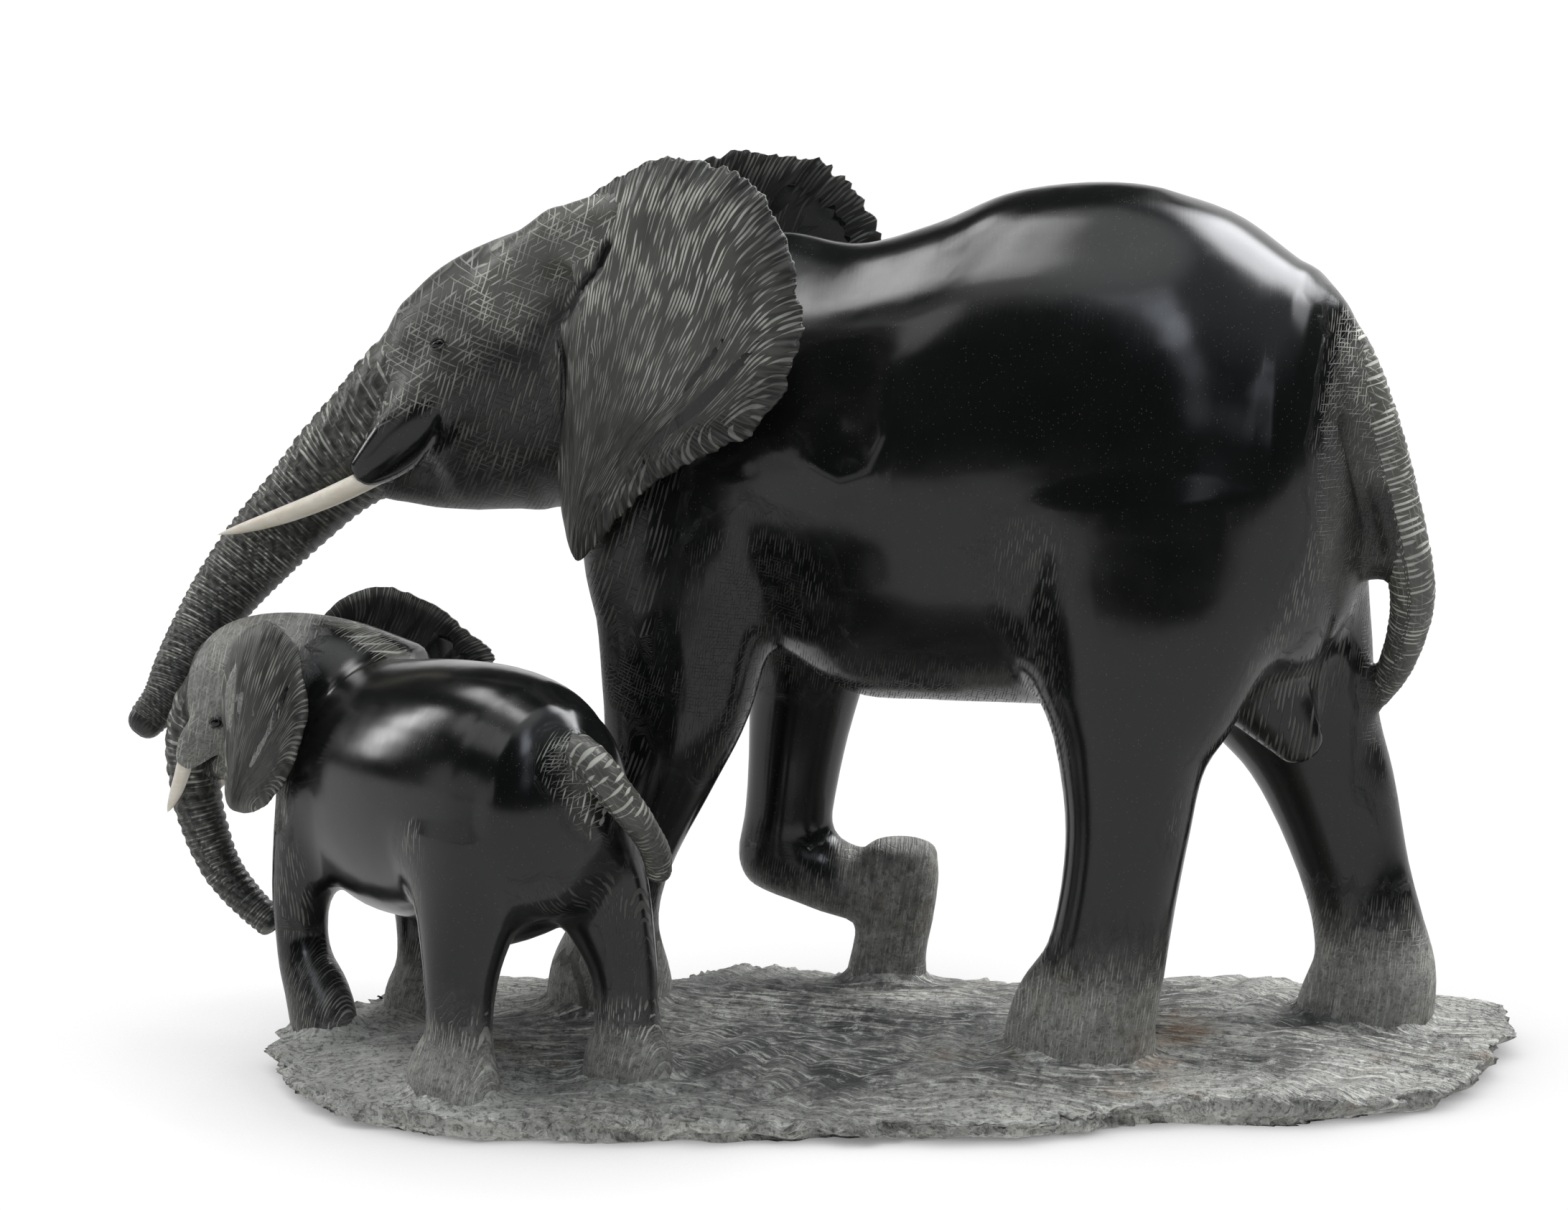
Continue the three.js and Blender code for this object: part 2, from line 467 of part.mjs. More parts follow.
// A tusk points along +X from its root, bends upwards and tapers to a blunt point. grow widens it
// all round, for the socket.
function tuskGeometry(length, diameter, grow) {
  const sides = 8;
  const rings = 8;
  const bend = length / tuskBend;
  const centre = (u) => new THREE.Vector3(u * length, 0, bend * (u * u - u));
  const all = [];
  for (let i = 0; i <= rings; i += 1) {
    const u = i / rings;
    const taper = Math.max(1 - u ** tuskFullness, tuskTipShare) ** tuskTaper;
    const radius = 0.5 * diameter * taper + grow;
    const middle = centre(u);
    if (i === 0) middle.x -= grow;
    if (i === rings) middle.x += grow;
    all.push(Array.from({ length: sides }, (_, s) => {
      const angle = (2 * Math.PI * s) / sides;
      return middle.clone().add(new THREE.Vector3(0, radius * Math.cos(angle), radius * Math.sin(angle)));
    }));
  }
  const root = centre(0);
  root.x -= grow;
  const tip = centre(1);
  tip.x += grow + 0.05 * diameter;
  return skin(root, all, tip);
}

// exit is where the tusk leaves the stone and towards is where it points, in shares of the height
function tusk(frame, name, exit, towards, length, diameter, socket, material) {
  const height = frame.userData.height;
  const from = new THREE.Vector3(...exit).multiplyScalar(height);
  const direction = new THREE.Vector3(...towards).multiplyScalar(height).sub(from).normalize();
  const mesh = new THREE.Mesh(tuskGeometry(length, diameter, 0), material);
  const side = new THREE.Vector3().crossVectors(new THREE.Vector3(0, 0, 1), direction).normalize();
  const up = new THREE.Vector3().crossVectors(direction, side);
  mesh.name = name;
  mesh.position.copy(from).addScaledVector(direction, -socket);
  mesh.quaternion.setFromRotationMatrix(new THREE.Matrix4().makeBasis(direction, side, up));
  mesh.userData.socket = tuskGeometry(length, diameter, tuskClearance);
  frame.add(mesh);
  return mesh;
}

const ivory = new THREE.MeshStandardMaterial({ color: 0xe9dcc4, roughness: 0.38, metalness: 0 });
const stone = new THREE.MeshStandardMaterial({ color: 0x17191a, roughness: 0.24, metalness: 0 });

const cowTusks = [1, -1].map((side) => tusk(
  cowHead, side > 0 ? 'cow_tusk_left' : 'cow_tusk_right',
  [0.387, side * 0.085, 0.632], [0.577, side * 0.09, 0.553],
  cowTuskLength, cowTuskDiameter, cowTuskSocket, ivory));
const calfTusks = [1, -1].map((side) => tusk(
  calfHead, side > 0 ? 'calf_tusk_left' : 'calf_tusk_right',
  [0.366, side * 0.14, 0.614], [0.41, side * 0.142, 0.49],
  calfTuskLength, calfTuskDiameter, calfTuskSocket, ivory));

const group = new THREE.Group();
group.name = 'marble_elephant_and_calf';
group.add(cow, calf);
group.updateMatrixWorld(true);

let block = joined([
  baseSlab(), ...cowBody(), ...cowLegs(), ...cowTail(), ...cowHeadSolids(),
  ...calfBody(), ...calfLegs(), ...calfTail(), ...calfHeadSolids(),
]);
for (const mesh of [...cowTusks, ...calfTusks]) {
  block = block.subtract(solidOf(mesh.userData.socket, mesh.matrixWorld));
  delete mesh.userData.socket;
}

const carving = new THREE.Mesh(withoutShortEdges(geometryOf(block), finestEdge), stone);
carving.geometry.computeVertexNormals();
carving.name = 'elephant_group';
group.add(carving);

export default group;
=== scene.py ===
# An elephant cow and her calf, carved from one block of near-black stone on an uneven tooled base,
# with four cream tusks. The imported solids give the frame; the stone is rebuilt here from the same
# stations, with soft joins between the limbs and the carver's marks as relief.
# Lengths are millimetres in the working arrays and become metres in the meshes.

import json
import math

import bpy
import numpy as np
import openvdb
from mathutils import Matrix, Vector

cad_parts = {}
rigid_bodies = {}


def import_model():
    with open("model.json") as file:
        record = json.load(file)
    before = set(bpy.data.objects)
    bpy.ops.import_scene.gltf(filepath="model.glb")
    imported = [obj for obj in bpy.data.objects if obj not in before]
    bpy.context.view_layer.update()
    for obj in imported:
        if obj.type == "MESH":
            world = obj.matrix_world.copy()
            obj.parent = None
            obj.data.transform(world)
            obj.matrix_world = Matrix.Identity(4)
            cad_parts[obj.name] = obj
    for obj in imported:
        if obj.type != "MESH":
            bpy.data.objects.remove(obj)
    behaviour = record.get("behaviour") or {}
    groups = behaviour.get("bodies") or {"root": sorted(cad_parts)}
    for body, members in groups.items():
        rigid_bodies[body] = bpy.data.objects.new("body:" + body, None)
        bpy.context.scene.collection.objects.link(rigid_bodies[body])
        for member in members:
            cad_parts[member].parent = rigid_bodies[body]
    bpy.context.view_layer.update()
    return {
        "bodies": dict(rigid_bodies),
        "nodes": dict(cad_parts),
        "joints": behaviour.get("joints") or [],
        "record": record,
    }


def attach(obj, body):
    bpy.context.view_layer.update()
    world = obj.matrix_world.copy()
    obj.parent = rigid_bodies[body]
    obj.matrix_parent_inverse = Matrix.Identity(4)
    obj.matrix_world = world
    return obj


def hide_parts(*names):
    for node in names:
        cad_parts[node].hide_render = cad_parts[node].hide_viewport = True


MM = 0.001

BASE_LENGTH = 630
BASE_DEPTH = 290
BASE_THICKNESS = 20
BASE_RIM_DROP = 4.5
BASE_WAVE = 2.4

VOXEL = 2.4
BAND = 9.0
BLOCK_TRIANGLES = 55500
BASE_TRIANGLES = 36000

IMAGE_WIDTH = 2184
FOCAL_PIXELS = 6557
SENSOR_WIDTH = 36


# Frames: x forward, y left, z up, in shares of the figure's height

class Frame:
    def __init__(self, origin, turn, height):
        self.origin = np.array(origin, float)
        self.turn = turn
        self.height = height
        c, s = math.cos(math.radians(turn)), math.sin(math.radians(turn))
        self.rotation = np.array([[c, -s, 0], [s, c, 0], [0, 0, 1]])

    def world(self, points):
        return self.origin + (np.asarray(points, float) * self.height) @ self.rotation.T

    def local(self, points):
        return ((points - self.origin) @ self.rotation) / self.height

    def child(self, place, turn):
        return Frame(self.world([place[0], place[1], 0]), self.turn + turn, self.height)


COW = Frame([0.07 * BASE_LENGTH, 0.14 * BASE_DEPTH, BASE_THICKNESS], 159, 430)
CALF = Frame([-0.362 * BASE_LENGTH, -0.129 * BASE_DEPTH, BASE_THICKNESS], 125, 210)
COW_HEAD = COW.child([0.378, 0.015], 9)
CALF_HEAD = CALF.child([0.497, 0.012], 35)


# Curves

def spline(points, u, closed=False):
    p = np.asarray(points, float)
    n = len(p)
    if closed:
        t = (np.asarray(u, float) % 1.0) * n
        i = np.floor(t).astype(int) % n
        w = (t - np.floor(t))[..., None]
        a, b, c, d = p[(i - 1) % n], p[i], p[(i + 1) % n], p[(i + 2) % n]
    else:
        ext = np.vstack([2 * p[0] - p[1], p, 2 * p[-1] - p[-2]])
        t = np.clip(np.asarray(u, float), 0, 1) * (n - 1)
        i = np.minimum(np.floor(t).astype(int), n - 2)
        w = (t - i)[..., None]
        a, b, c, d = ext[i], ext[i + 1], ext[i + 2], ext[i + 3]
    second, third = 2 * a - 5 * b + 4 * c - d, 3 * b - a - 3 * c + d
    return 0.5 * (2 * b + (c - a) * w + second * w ** 2 + third * w ** 3)


def smooth(x, low, high):
    t = np.clip((x - low) / (high - low), 0, 1)
    return t * t * (3 - 2 * t)


def wobble(x, seed, waves=5):
    """A smooth, irregular curve of one variable, about -1 to 1."""
    local = np.random.default_rng(seed)
    total = np.zeros_like(np.asarray(x, float))
    for k in range(waves):
        rate, shift = local.uniform(0.5, 1.8), local.uniform(0, 6.28)
        total += np.sin(np.asarray(x) * rate * (1.5 ** k) + shift) / (1.3 ** k)
    return total / 2.4


def wobble2(x, y, seed, waves=6):
    """A smooth, irregular surface over x and y, about -1 to 1."""
    local = np.random.default_rng(seed)
    total = np.zeros_like(np.asarray(x, float))
    for _ in range(waves):
        angle, rate, shift = local.uniform(0, 6.28), local.uniform(0.6, 1.7), local.uniform(0, 6.28)
        total += np.sin((x * math.cos(angle) + y * math.sin(angle)) * rate + shift)
    return total / (0.8 * math.sqrt(waves) * 1.4)


# Closed skins over rings of points

def ring_faces(count, sides, first=0):
    ring, side = np.meshgrid(np.arange(count - 1), np.arange(sides), indexing="ij")
    nxt = (side + 1) % sides
    a = first + ring * sides + side
    b = first + ring * sides + nxt
    c = first + (ring + 1) * sides + nxt
    d = first + (ring + 1) * sides + side
    return np.stack([a, b, c, d], -1).reshape(-1, 4)


def closed_skin(rings, start, end):
    """Vertices and triangles of a skin over rings, shape (count, sides, 3), with a point at each end."""
    count, sides, _ = rings.shape
    quads = ring_faces(count, sides, 1)
    triangles = np.vstack([quads[:, [0, 1, 2]], quads[:, [0, 2, 3]]])
    side = np.arange(sides)
    nxt = (side + 1) % sides
    zero = np.zeros(sides, int)
    last = 1 + count * sides
    cap_a = np.stack([zero, 1 + nxt, 1 + side], -1)
    base = 1 + (count - 1) * sides
    cap_b = np.stack([zero + last, base + side, base + nxt], -1)
    vertices = np.vstack([start, rings.reshape(-1, 3), end])
    return vertices, np.vstack([triangles, cap_a, cap_b])


def loft(stations, sides=40, rings=60, start_cap=0.02, end_cap=0.02, cap_rings=6, upright=False,
         first=0.0, last=1.0, scale=None):
    """Rings of an elliptical limb in its frame's shares, with each ring's u; the ends are domed."""
    st = np.asarray(stations, float)
    grow = scale or (lambda u: 1.0)

    def frame_at(u):
        step = 1e-3
        a, b = max(0.0, u - step), min(1.0, u + step)
        tangent = spline(st[:, :3], b) - spline(st[:, :3], a)
        tangent /= np.linalg.norm(tangent)
        along = tangent
        if upright:
            tangent = np.array([1.0, 0, 0])
        side = np.array([0, 1.0, 0]) - tangent[1] * tangent
        side /= np.linalg.norm(side)
        return along, side, np.cross(tangent, side)

    angles = 2 * np.pi * np.arange(sides) / sides

    def ring_at(u, along, shrink):
        direction, side, deep = frame_at(u)
        size = spline(st[:, 3:5], u) * shrink * grow(u)
        centre = spline(st[:, :3], u) + direction * along
        return centre + np.outer(np.cos(angles), side) * size[0] + np.outer(np.sin(angles), deep) * size[1]

    all_rings, us = [], []
    for i in range(1, cap_rings + 1):
        angle = (math.pi / 2) * (1 - i / (cap_rings + 1))
        all_rings.append(ring_at(first, -start_cap * math.sin(angle), math.cos(angle)))
        us.append(first)
    for i in range(rings + 1):
        u = first + (last - first) * i / rings
        all_rings.append(ring_at(u, 0, 1))
        us.append(u)
    for i in range(cap_rings, 0, -1):
        angle = (math.pi / 2) * (1 - i / (cap_rings + 1))
        all_rings.append(ring_at(last, end_cap * math.sin(angle), math.cos(angle)))
        us.append(last)
    start = spline(st[:, :3], first) - frame_at(first)[0] * start_cap
    end = spline(st[:, :3], last) + frame_at(last)[0] * end_cap
    return np.array(all_rings), np.array(us), start, end


# The field: distances to the stone's surface in voxels, joined with soft creases

class Field:
    def __init__(self, low, high):
        self.low = np.array(low, float)
        self.shape = tuple(np.ceil((np.array(high) - self.low) / VOXEL).astype(int))
        self.values = np.full(self.shape, BAND, np.float32)

    def window(self, points, margin):
        lo = np.maximum(np.floor(points.min(0) - margin).astype(int), 0)
        hi = np.minimum(np.ceil(points.max(0) + margin).astype(int) + 1, self.shape)
        return lo, hi

    def add(self, vertices, triangles, blend):
        """Joins a closed skin in world millimetres; blend is the crease's softness in millimetres."""
        points = ((vertices - self.low) / VOXEL).astype(np.float32)
        grid = openvdb.FloatGrid.createLevelSetFromPolygons(
            points, triangles=triangles.astype(np.uint32),
            transform=openvdb.createLinearTransform(voxelSize=1.0), halfWidth=BAND)
        lo, hi = self.window(points, BAND)
        part = np.empty(tuple(hi - lo), np.float32)
        grid.copyToArray(part, ijk=tuple(int(v) for v in lo))
        view = self.values[lo[0]:hi[0], lo[1]:hi[1], lo[2]:hi[2]]
        k = blend / VOXEL
        near = np.clip(k - np.abs(view - part), 0, None) / k
        view[...] = np.minimum(view, part) - 0.25 * k * near * near

    def distance(self, path, radii, margin):
        """Distance in voxels from a path of world points with a radius at each, and the window it covers."""
        points = (np.asarray(path, float) - self.low) / VOXEL
        lo, hi = self.window(points, margin)
        axes = [np.arange(lo[i], hi[i]) for i in range(3)]
        at = np.stack(np.meshgrid(*axes, indexing="ij"), -1).astype(np.float32)
        part = np.full(at.shape[:3], 1e6, np.float32)
        for a, b, ra, rb in zip(points[:-1], points[1:], radii[:-1], radii[1:]):
            along = b - a
            share = np.clip(((at - a) @ along) / max(along @ along, 1e-9), 0, 1)
            reach = np.linalg.norm(at - a - share[..., None] * along, axis=-1) - (ra + (rb - ra) * share)
            part = np.minimum(part, reach.astype(np.float32))
        return part, self.values[lo[0]:hi[0], lo[1]:hi[1], lo[2]:hi[2]]

    def tube(self, path, radius, blend, cut=False):
        radii = np.broadcast_to(np.asarray(radius, float) / VOXEL, (len(path),))
        part, view = self.distance(path, radii, radii.max() + BAND)
        part = np.minimum(part, BAND)
        k = blend / VOXEL
        if cut:
            near = np.clip(k - np.abs(view + part), 0, None) / k
            view[...] = np.maximum(view, -part) + 0.25 * k * near * near
        else:
            near = np.clip(k - np.abs(view - part), 0, None) / k
            view[...] = np.minimum(view, part) - 0.25 * k * near * near

    def press(self, path, reach, depth):
        """Presses the surface in by depth along a path, fading out over reach; both in millimetres."""
        part, view = self.distance(path, np.zeros(len(path)), 2.4 * reach / VOXEL)
        view += depth / VOXEL * np.exp(-(part * VOXEL / reach) ** 2)

    def soften(self, times):
        for _ in range(times):
            for axis in range(3):
                v = self.values
                self.values = 0.5 * v + 0.25 * (np.roll(v, 1, axis) + np.roll(v, -1, axis))

    def sample(self, points):
        p = (points - self.low) / VOXEL
        i = np.clip(np.floor(p).astype(int), 0, np.array(self.shape) - 2)
        w = p - i
        total = 0
        for dx in (0, 1):
            for dy in (0, 1):
                for dz in (0, 1):
                    weight = ((w[:, 0] if dx else 1 - w[:, 0]) * (w[:, 1] if dy else 1 - w[:, 1])
                              * (w[:, 2] if dz else 1 - w[:, 2]))
                    total = total + weight * self.values[i[:, 0] + dx, i[:, 1] + dy, i[:, 2] + dz]
        return total

    def normals(self, points, reach=1.0):
        columns = []
        for axis in range(3):
            step = np.zeros(3)
            step[axis] = reach * VOXEL
            columns.append(self.sample(points + step) - self.sample(points - step))
        normal = np.stack(columns, -1)
        return normal / np.maximum(np.linalg.norm(normal, axis=1, keepdims=True), 1e-9)

    def surface(self):
        grid = openvdb.FloatGrid(BAND)
        grid.copyFromArray(self.values)
        points, quads = grid.convertToQuads(0.0)
        points = np.asarray(points, float) * VOXEL + self.low
        quads = np.asarray(quads, int)
        a, b, c = points[quads[:, 0]], points[quads[:, 1]], points[quads[:, 2]]
        outward = np.einsum("ij,ij->i", np.cross(b - a, c - a), self.normals((a + c) / 2))
        if np.median(outward) < 0:
            quads = quads[:, ::-1]
        return points, quads


# Stations [forward, left, up, half width, half depth] of every limb, as in the solids

COW_BODY = [
    [-0.37, 0, 0.678, 0.172, 0.243], [-0.28, 0, 0.687, 0.205, 0.29], [-0.16, 0, 0.693, 0.218, 0.308],
    [-0.035, 0, 0.684, 0.224, 0.304], [0.06, 0, 0.663, 0.223, 0.286], [0.16, 0, 0.65, 0.207, 0.271],
    [0.25, 0, 0.678, 0.178, 0.248], [0.33, 0.005, 0.70, 0.15, 0.22], [0.40, 0.015, 0.72, 0.135, 0.2],
]
COW_FLAP = [[-0.29, -0.03, 0.47, 0.08, 0.09], [-0.34, -0.03, 0.40, 0.05, 0.055],
            [-0.38, -0.03, 0.345, 0.02, 0.03]]
COW_LEGS = [
    [[-0.215, 0.10, 0.64, 0.115, 0.17], [-0.228, 0.115, 0.52, 0.115, 0.16],
     [-0.227, 0.13, 0.42, 0.098, 0.123],
     [-0.222, 0.137, 0.35, 0.08, 0.088], [-0.219, 0.14, 0.268, 0.068, 0.073],
     [-0.208, 0.14, 0.18, 0.063, 0.068],
     [-0.192, 0.138, 0.10, 0.067, 0.072], [-0.168, 0.135, 0.035, 0.082, 0.087],
     [-0.16, 0.133, -0.015, 0.087, 0.091]],
    [[-0.25, -0.10, 0.64, 0.115, 0.16], [-0.285, -0.12, 0.52, 0.112, 0.15],
     [-0.325, -0.14, 0.41, 0.098, 0.118],
     [-0.36, -0.152, 0.33, 0.08, 0.088], [-0.387, -0.16, 0.26, 0.07, 0.077],
     [-0.415, -0.165, 0.165, 0.062, 0.066],
     [-0.433, -0.165, 0.098, 0.064, 0.067], [-0.44, -0.165, 0.045, 0.074, 0.076],
     [-0.43, -0.165, -0.015, 0.082, 0.085]],
    [[0.32, 0.085, 0.66, 0.10, 0.15], [0.342, 0.10, 0.55, 0.105, 0.137], [0.344, 0.12, 0.46, 0.09, 0.108],
     [0.351, 0.13, 0.378, 0.078, 0.092], [0.371, 0.13, 0.30, 0.066, 0.072],
     [0.400, 0.13, 0.215, 0.053, 0.056],
     [0.418, 0.13, 0.155, 0.048, 0.049], [0.43, 0.13, 0.10, 0.052, 0.052], [0.438, 0.13, 0.04, 0.07, 0.073],
     [0.44, 0.13, -0.015, 0.076, 0.08]],
    [[0.26, -0.09, 0.62, 0.10, 0.13], [0.272, -0.105, 0.47, 0.09, 0.105],
     [0.275, -0.115, 0.38, 0.07, 0.075],
     [0.288, -0.12, 0.30, 0.06, 0.063], [0.298, -0.12, 0.22, 0.054, 0.056],
     [0.308, -0.12, 0.142, 0.05, 0.054]],
    [[0.322, -0.12, 0.143, 0.045, 0.048], [0.25, -0.12, 0.116, 0.045, 0.047],
     [0.20, -0.12, 0.106, 0.047, 0.045],
     [0.155, -0.12, 0.108, 0.047, 0.046]],
    [[0.150, -0.12, 0.157, 0.047, 0.043], [0.152, -0.12, 0.12, 0.047, 0.047],
     [0.157, -0.12, 0.075, 0.045, 0.046],
     [0.166, -0.12, 0.03, 0.045, 0.046], [0.171, -0.12, -0.015, 0.05, 0.052]],
]
COW_LEG_CAPS = [(0.02, 0.02), (0.02, 0.02), (0.02, 0.02), (0.02, 0.045), (0.03, 0.008), (0.012, 0.02)]
COW_LEG_BLENDS = [17, 17, 17, 17, 12, 8]
COW_TAIL = [
    [-0.40, 0, 0.85, 0.035, 0.035], [-0.437, 0, 0.805, 0.031, 0.03], [-0.459, 0, 0.75, 0.032, 0.031],
    [-0.475, -0.006, 0.70, 0.03, 0.03], [-0.487, -0.02, 0.646, 0.028, 0.029],
    [-0.499, -0.04, 0.578, 0.027, 0.028],
    [-0.501, -0.065, 0.525, 0.025, 0.026], [-0.489, -0.09, 0.475, 0.022, 0.023],
    [-0.47, -0.112, 0.43, 0.018, 0.02],
    [-0.448, -0.128, 0.395, 0.014, 0.016],
]
COW_TAIL_WEB = [
    [-0.40, -0.01, 0.80, 0.05, 0.05], [-0.435, -0.015, 0.70, 0.04, 0.05],
    [-0.455, -0.03, 0.61, 0.03, 0.045],
    [-0.45, -0.045, 0.57, 0.02, 0.03],
]
COW_SKULL = [
    [-0.08, 0, 0.712, 0.15, 0.20], [0.02, 0, 0.745, 0.145, 0.20], [0.10, 0, 0.769, 0.138, 0.19],
    [0.17, 0, 0.76, 0.128, 0.174], [0.24, 0, 0.743, 0.116, 0.159], [0.30, 0, 0.72, 0.098, 0.134],
]
COW_JAW = [[0.20, 0, 0.655, 0.08, 0.067], [0.30, 0, 0.628, 0.05, 0.047], [0.37, 0, 0.616, 0.03, 0.027]]
COW_TRUNK = [
    [0.20, 0, 0.775, 0.105, 0.12], [0.27, 0, 0.76, 0.092, 0.104], [0.333, 0, 0.7245, 0.08, 0.088],
    [0.386, 0, 0.679, 0.067, 0.076], [0.4455, 0, 0.631, 0.056, 0.063], [0.49, 0.01, 0.584, 0.049, 0.054],
    [0.533, 0.03, 0.536, 0.044, 0.049], [0.574, 0.055, 0.482, 0.038, 0.042],
    [0.603, 0.08, 0.432, 0.033, 0.036],
    [0.622, 0.105, 0.391, 0.029, 0.031], [0.635, 0.125, 0.355, 0.025, 0.027],
    [0.654, 0.14, 0.328, 0.022, 0.023],
]
COW_SHEATH = [[0.22, 0.07, 0.775, 0.05, 0.06], [0.30, 0.082, 0.715, 0.045, 0.05],
              [0.36, 0.085, 0.66, 0.03, 0.034],
              [0.39, 0.085, 0.636, 0.02, 0.022]]
COW_EAR = [
    [0.118, 0.955], [0.061, 1.0], [-0.005, 1.03], [-0.059, 1.028], [-0.111, 1.017], [-0.147, 0.988],
    [-0.18, 0.925], [-0.194, 0.848], [-0.175, 0.78], [-0.134, 0.725], [-0.093, 0.704], [-0.042, 0.676],
    [0, 0.65], [0.042, 0.609], [0.079, 0.567], [0.104, 0.556], [0.125, 0.63], [0.128, 0.731],
    [0.135, 0.82], [0.105, 0.90],
]
CALF_BODY = [
    [-0.45, 0, 0.665, 0.20, 0.26], [-0.36, 0, 0.665, 0.235, 0.288], [-0.22, 0, 0.65, 0.255, 0.312],
    [-0.05, 0, 0.632, 0.262, 0.318], [0.12, 0, 0.61, 0.255, 0.318], [0.28, 0, 0.595, 0.235, 0.305],
    [0.40, 0, 0.605, 0.20, 0.265], [0.48, 0, 0.635, 0.17, 0.232], [0.56, 0.02, 0.68, 0.17, 0.21],
]
CALF_FLAP = [[-0.22, -0.02, 0.43, 0.14, 0.12], [-0.27, -0.03, 0.33, 0.12, 0.07]]
CALF_LEGS = [
    [[-0.29, 0.12, 0.58, 0.125, 0.19], [-0.30, 0.138, 0.42, 0.112, 0.15], [-0.32, 0.168, 0.28, 0.088, 0.10],
     [-0.33, 0.18, 0.18, 0.078, 0.082], [-0.325, 0.182, 0.11, 0.082, 0.088],
     [-0.31, 0.185, 0.04, 0.105, 0.115],
     [-0.305, 0.188, -0.05, 0.115, 0.125]],
    [[-0.34, -0.13, 0.60, 0.13, 0.18], [-0.40, -0.17, 0.42, 0.11, 0.13], [-0.438, -0.2, 0.27, 0.082, 0.088],
     [-0.445, -0.205, 0.17, 0.076, 0.08], [-0.447, -0.21, 0.11, 0.08, 0.085],
     [-0.44, -0.215, 0.04, 0.102, 0.11],
     [-0.435, -0.215, -0.05, 0.108, 0.115]],
    [[0.37, 0.11, 0.60, 0.13, 0.15], [0.42, 0.135, 0.44, 0.105, 0.11], [0.463, 0.15, 0.31, 0.076, 0.076],
     [0.47, 0.15, 0.21, 0.066, 0.064], [0.45, 0.15, 0.135, 0.068, 0.07], [0.4, 0.15, 0.07, 0.078, 0.083],
     [0.37, 0.15, 0.01, 0.082, 0.087], [0.365, 0.15, -0.05, 0.082, 0.087]],
    [[0.35, -0.10, 0.58, 0.12, 0.14], [0.365, -0.12, 0.40, 0.09, 0.09], [0.385, -0.13, 0.24, 0.058, 0.058],
     [0.378, -0.13, 0.12, 0.057, 0.058], [0.375, -0.128, 0.04, 0.085, 0.09],
     [0.372, -0.127, -0.05, 0.093, 0.098]],
]
CALF_TAIL = [
    [-0.48, 0, 0.83, 0.045, 0.045], [-0.58, -0.02, 0.80, 0.045, 0.04], [-0.625, -0.06, 0.73, 0.042, 0.038],
    [-0.632, -0.11, 0.665, 0.038, 0.036], [-0.62, -0.155, 0.61, 0.034, 0.034],
    [-0.602, -0.19, 0.56, 0.034, 0.032],
    [-0.575, -0.215, 0.51, 0.03, 0.03],
]
CALF_SKULL = [
    [-0.14, 0, 0.71, 0.20, 0.215], [0, 0, 0.75, 0.205, 0.215], [0.12, 0, 0.773, 0.20, 0.205],
    [0.22, 0, 0.775, 0.183, 0.19], [0.29, 0, 0.75, 0.158, 0.168],
]
CALF_JAW = [[0.16, 0, 0.65, 0.12, 0.095], [0.26, 0, 0.60, 0.085, 0.06], [0.33, 0, 0.578, 0.05, 0.034]]
CALF_TRUNK = [
    [0.27, 0, 0.80, 0.12, 0.11], [0.36, 0, 0.735, 0.10, 0.085], [0.408, 0, 0.64, 0.08, 0.068],
    [0.404, 0, 0.506, 0.068, 0.06], [0.379, 0, 0.407, 0.06, 0.055], [0.338, 0, 0.317, 0.052, 0.049],
    [0.276, 0, 0.246, 0.046, 0.043], [0.205, 0, 0.187, 0.04, 0.038],
]
CALF_SHEATH = [[0.27, 0.12, 0.73, 0.05, 0.06], [0.33, 0.135, 0.66, 0.045, 0.05],
               [0.365, 0.14, 0.61, 0.026, 0.028]]
CALF_NEAR_EAR = [
    [0.197, 0.931], [0.125, 0.985], [0.057, 0.99], [-0.01, 0.942], [-0.045, 0.86], [-0.05, 0.77],
    [-0.02, 0.68], [0.03, 0.60], [0.09, 0.545], [0.155, 0.525], [0.207, 0.547], [0.215, 0.66],
    [0.232, 0.812],
]
CALF_FAR_EAR = [
    [0.17, 0.9], [0.11, 0.975], [0.028, 1.0], [-0.052, 0.96], [-0.12, 0.907], [-0.165, 0.855],
    [-0.205, 0.80],
    [-0.18, 0.73], [-0.11, 0.65], [-0.02, 0.585], [0.07, 0.54], [0.15, 0.55], [0.20, 0.66], [0.21, 0.8],
]
FAR_EAR_DROP = 0.021
COW_EAR_HUB = [0.07, 0.80]
COW_EAR_ROOT = [0.12, 0.50]


# Creases and eyes as paths; a crease has a frame, a path, a radius and a softness in millimetres
EAR_CREASE = [[0.054, 0.185, 0.930], [0.066, 0.18, 0.905], [0.085, 0.172, 0.885], [0.115, 0.155, 0.843],
              [0.16, 0.125, 0.826]]
EAR_FRONT = [[0.13, 0.145, 0.83], [0.117, 0.155, 0.79], [0.119, 0.155, 0.74], [0.13, 0.15, 0.69],
             [0.145, 0.115, 0.63]]
MOUTH = [[0.276, 0.128, 0.716], [0.281, 0.118, 0.69], [0.30, 0.098, 0.662], [0.336, 0.055, 0.632]]
COW_EYE = [[0.287, 0.100, 0.802], [0.279, 0.106, 0.79]]
TAIL_GAP = [[-0.443, 0.06, 0.74], [-0.456, 0.045, 0.70], [-0.464, 0.025, 0.647], [-0.472, 0.0, 0.585]]
CALF_EYE = [[0.259, 0.163, 0.74], [0.25, 0.165, 0.72]]
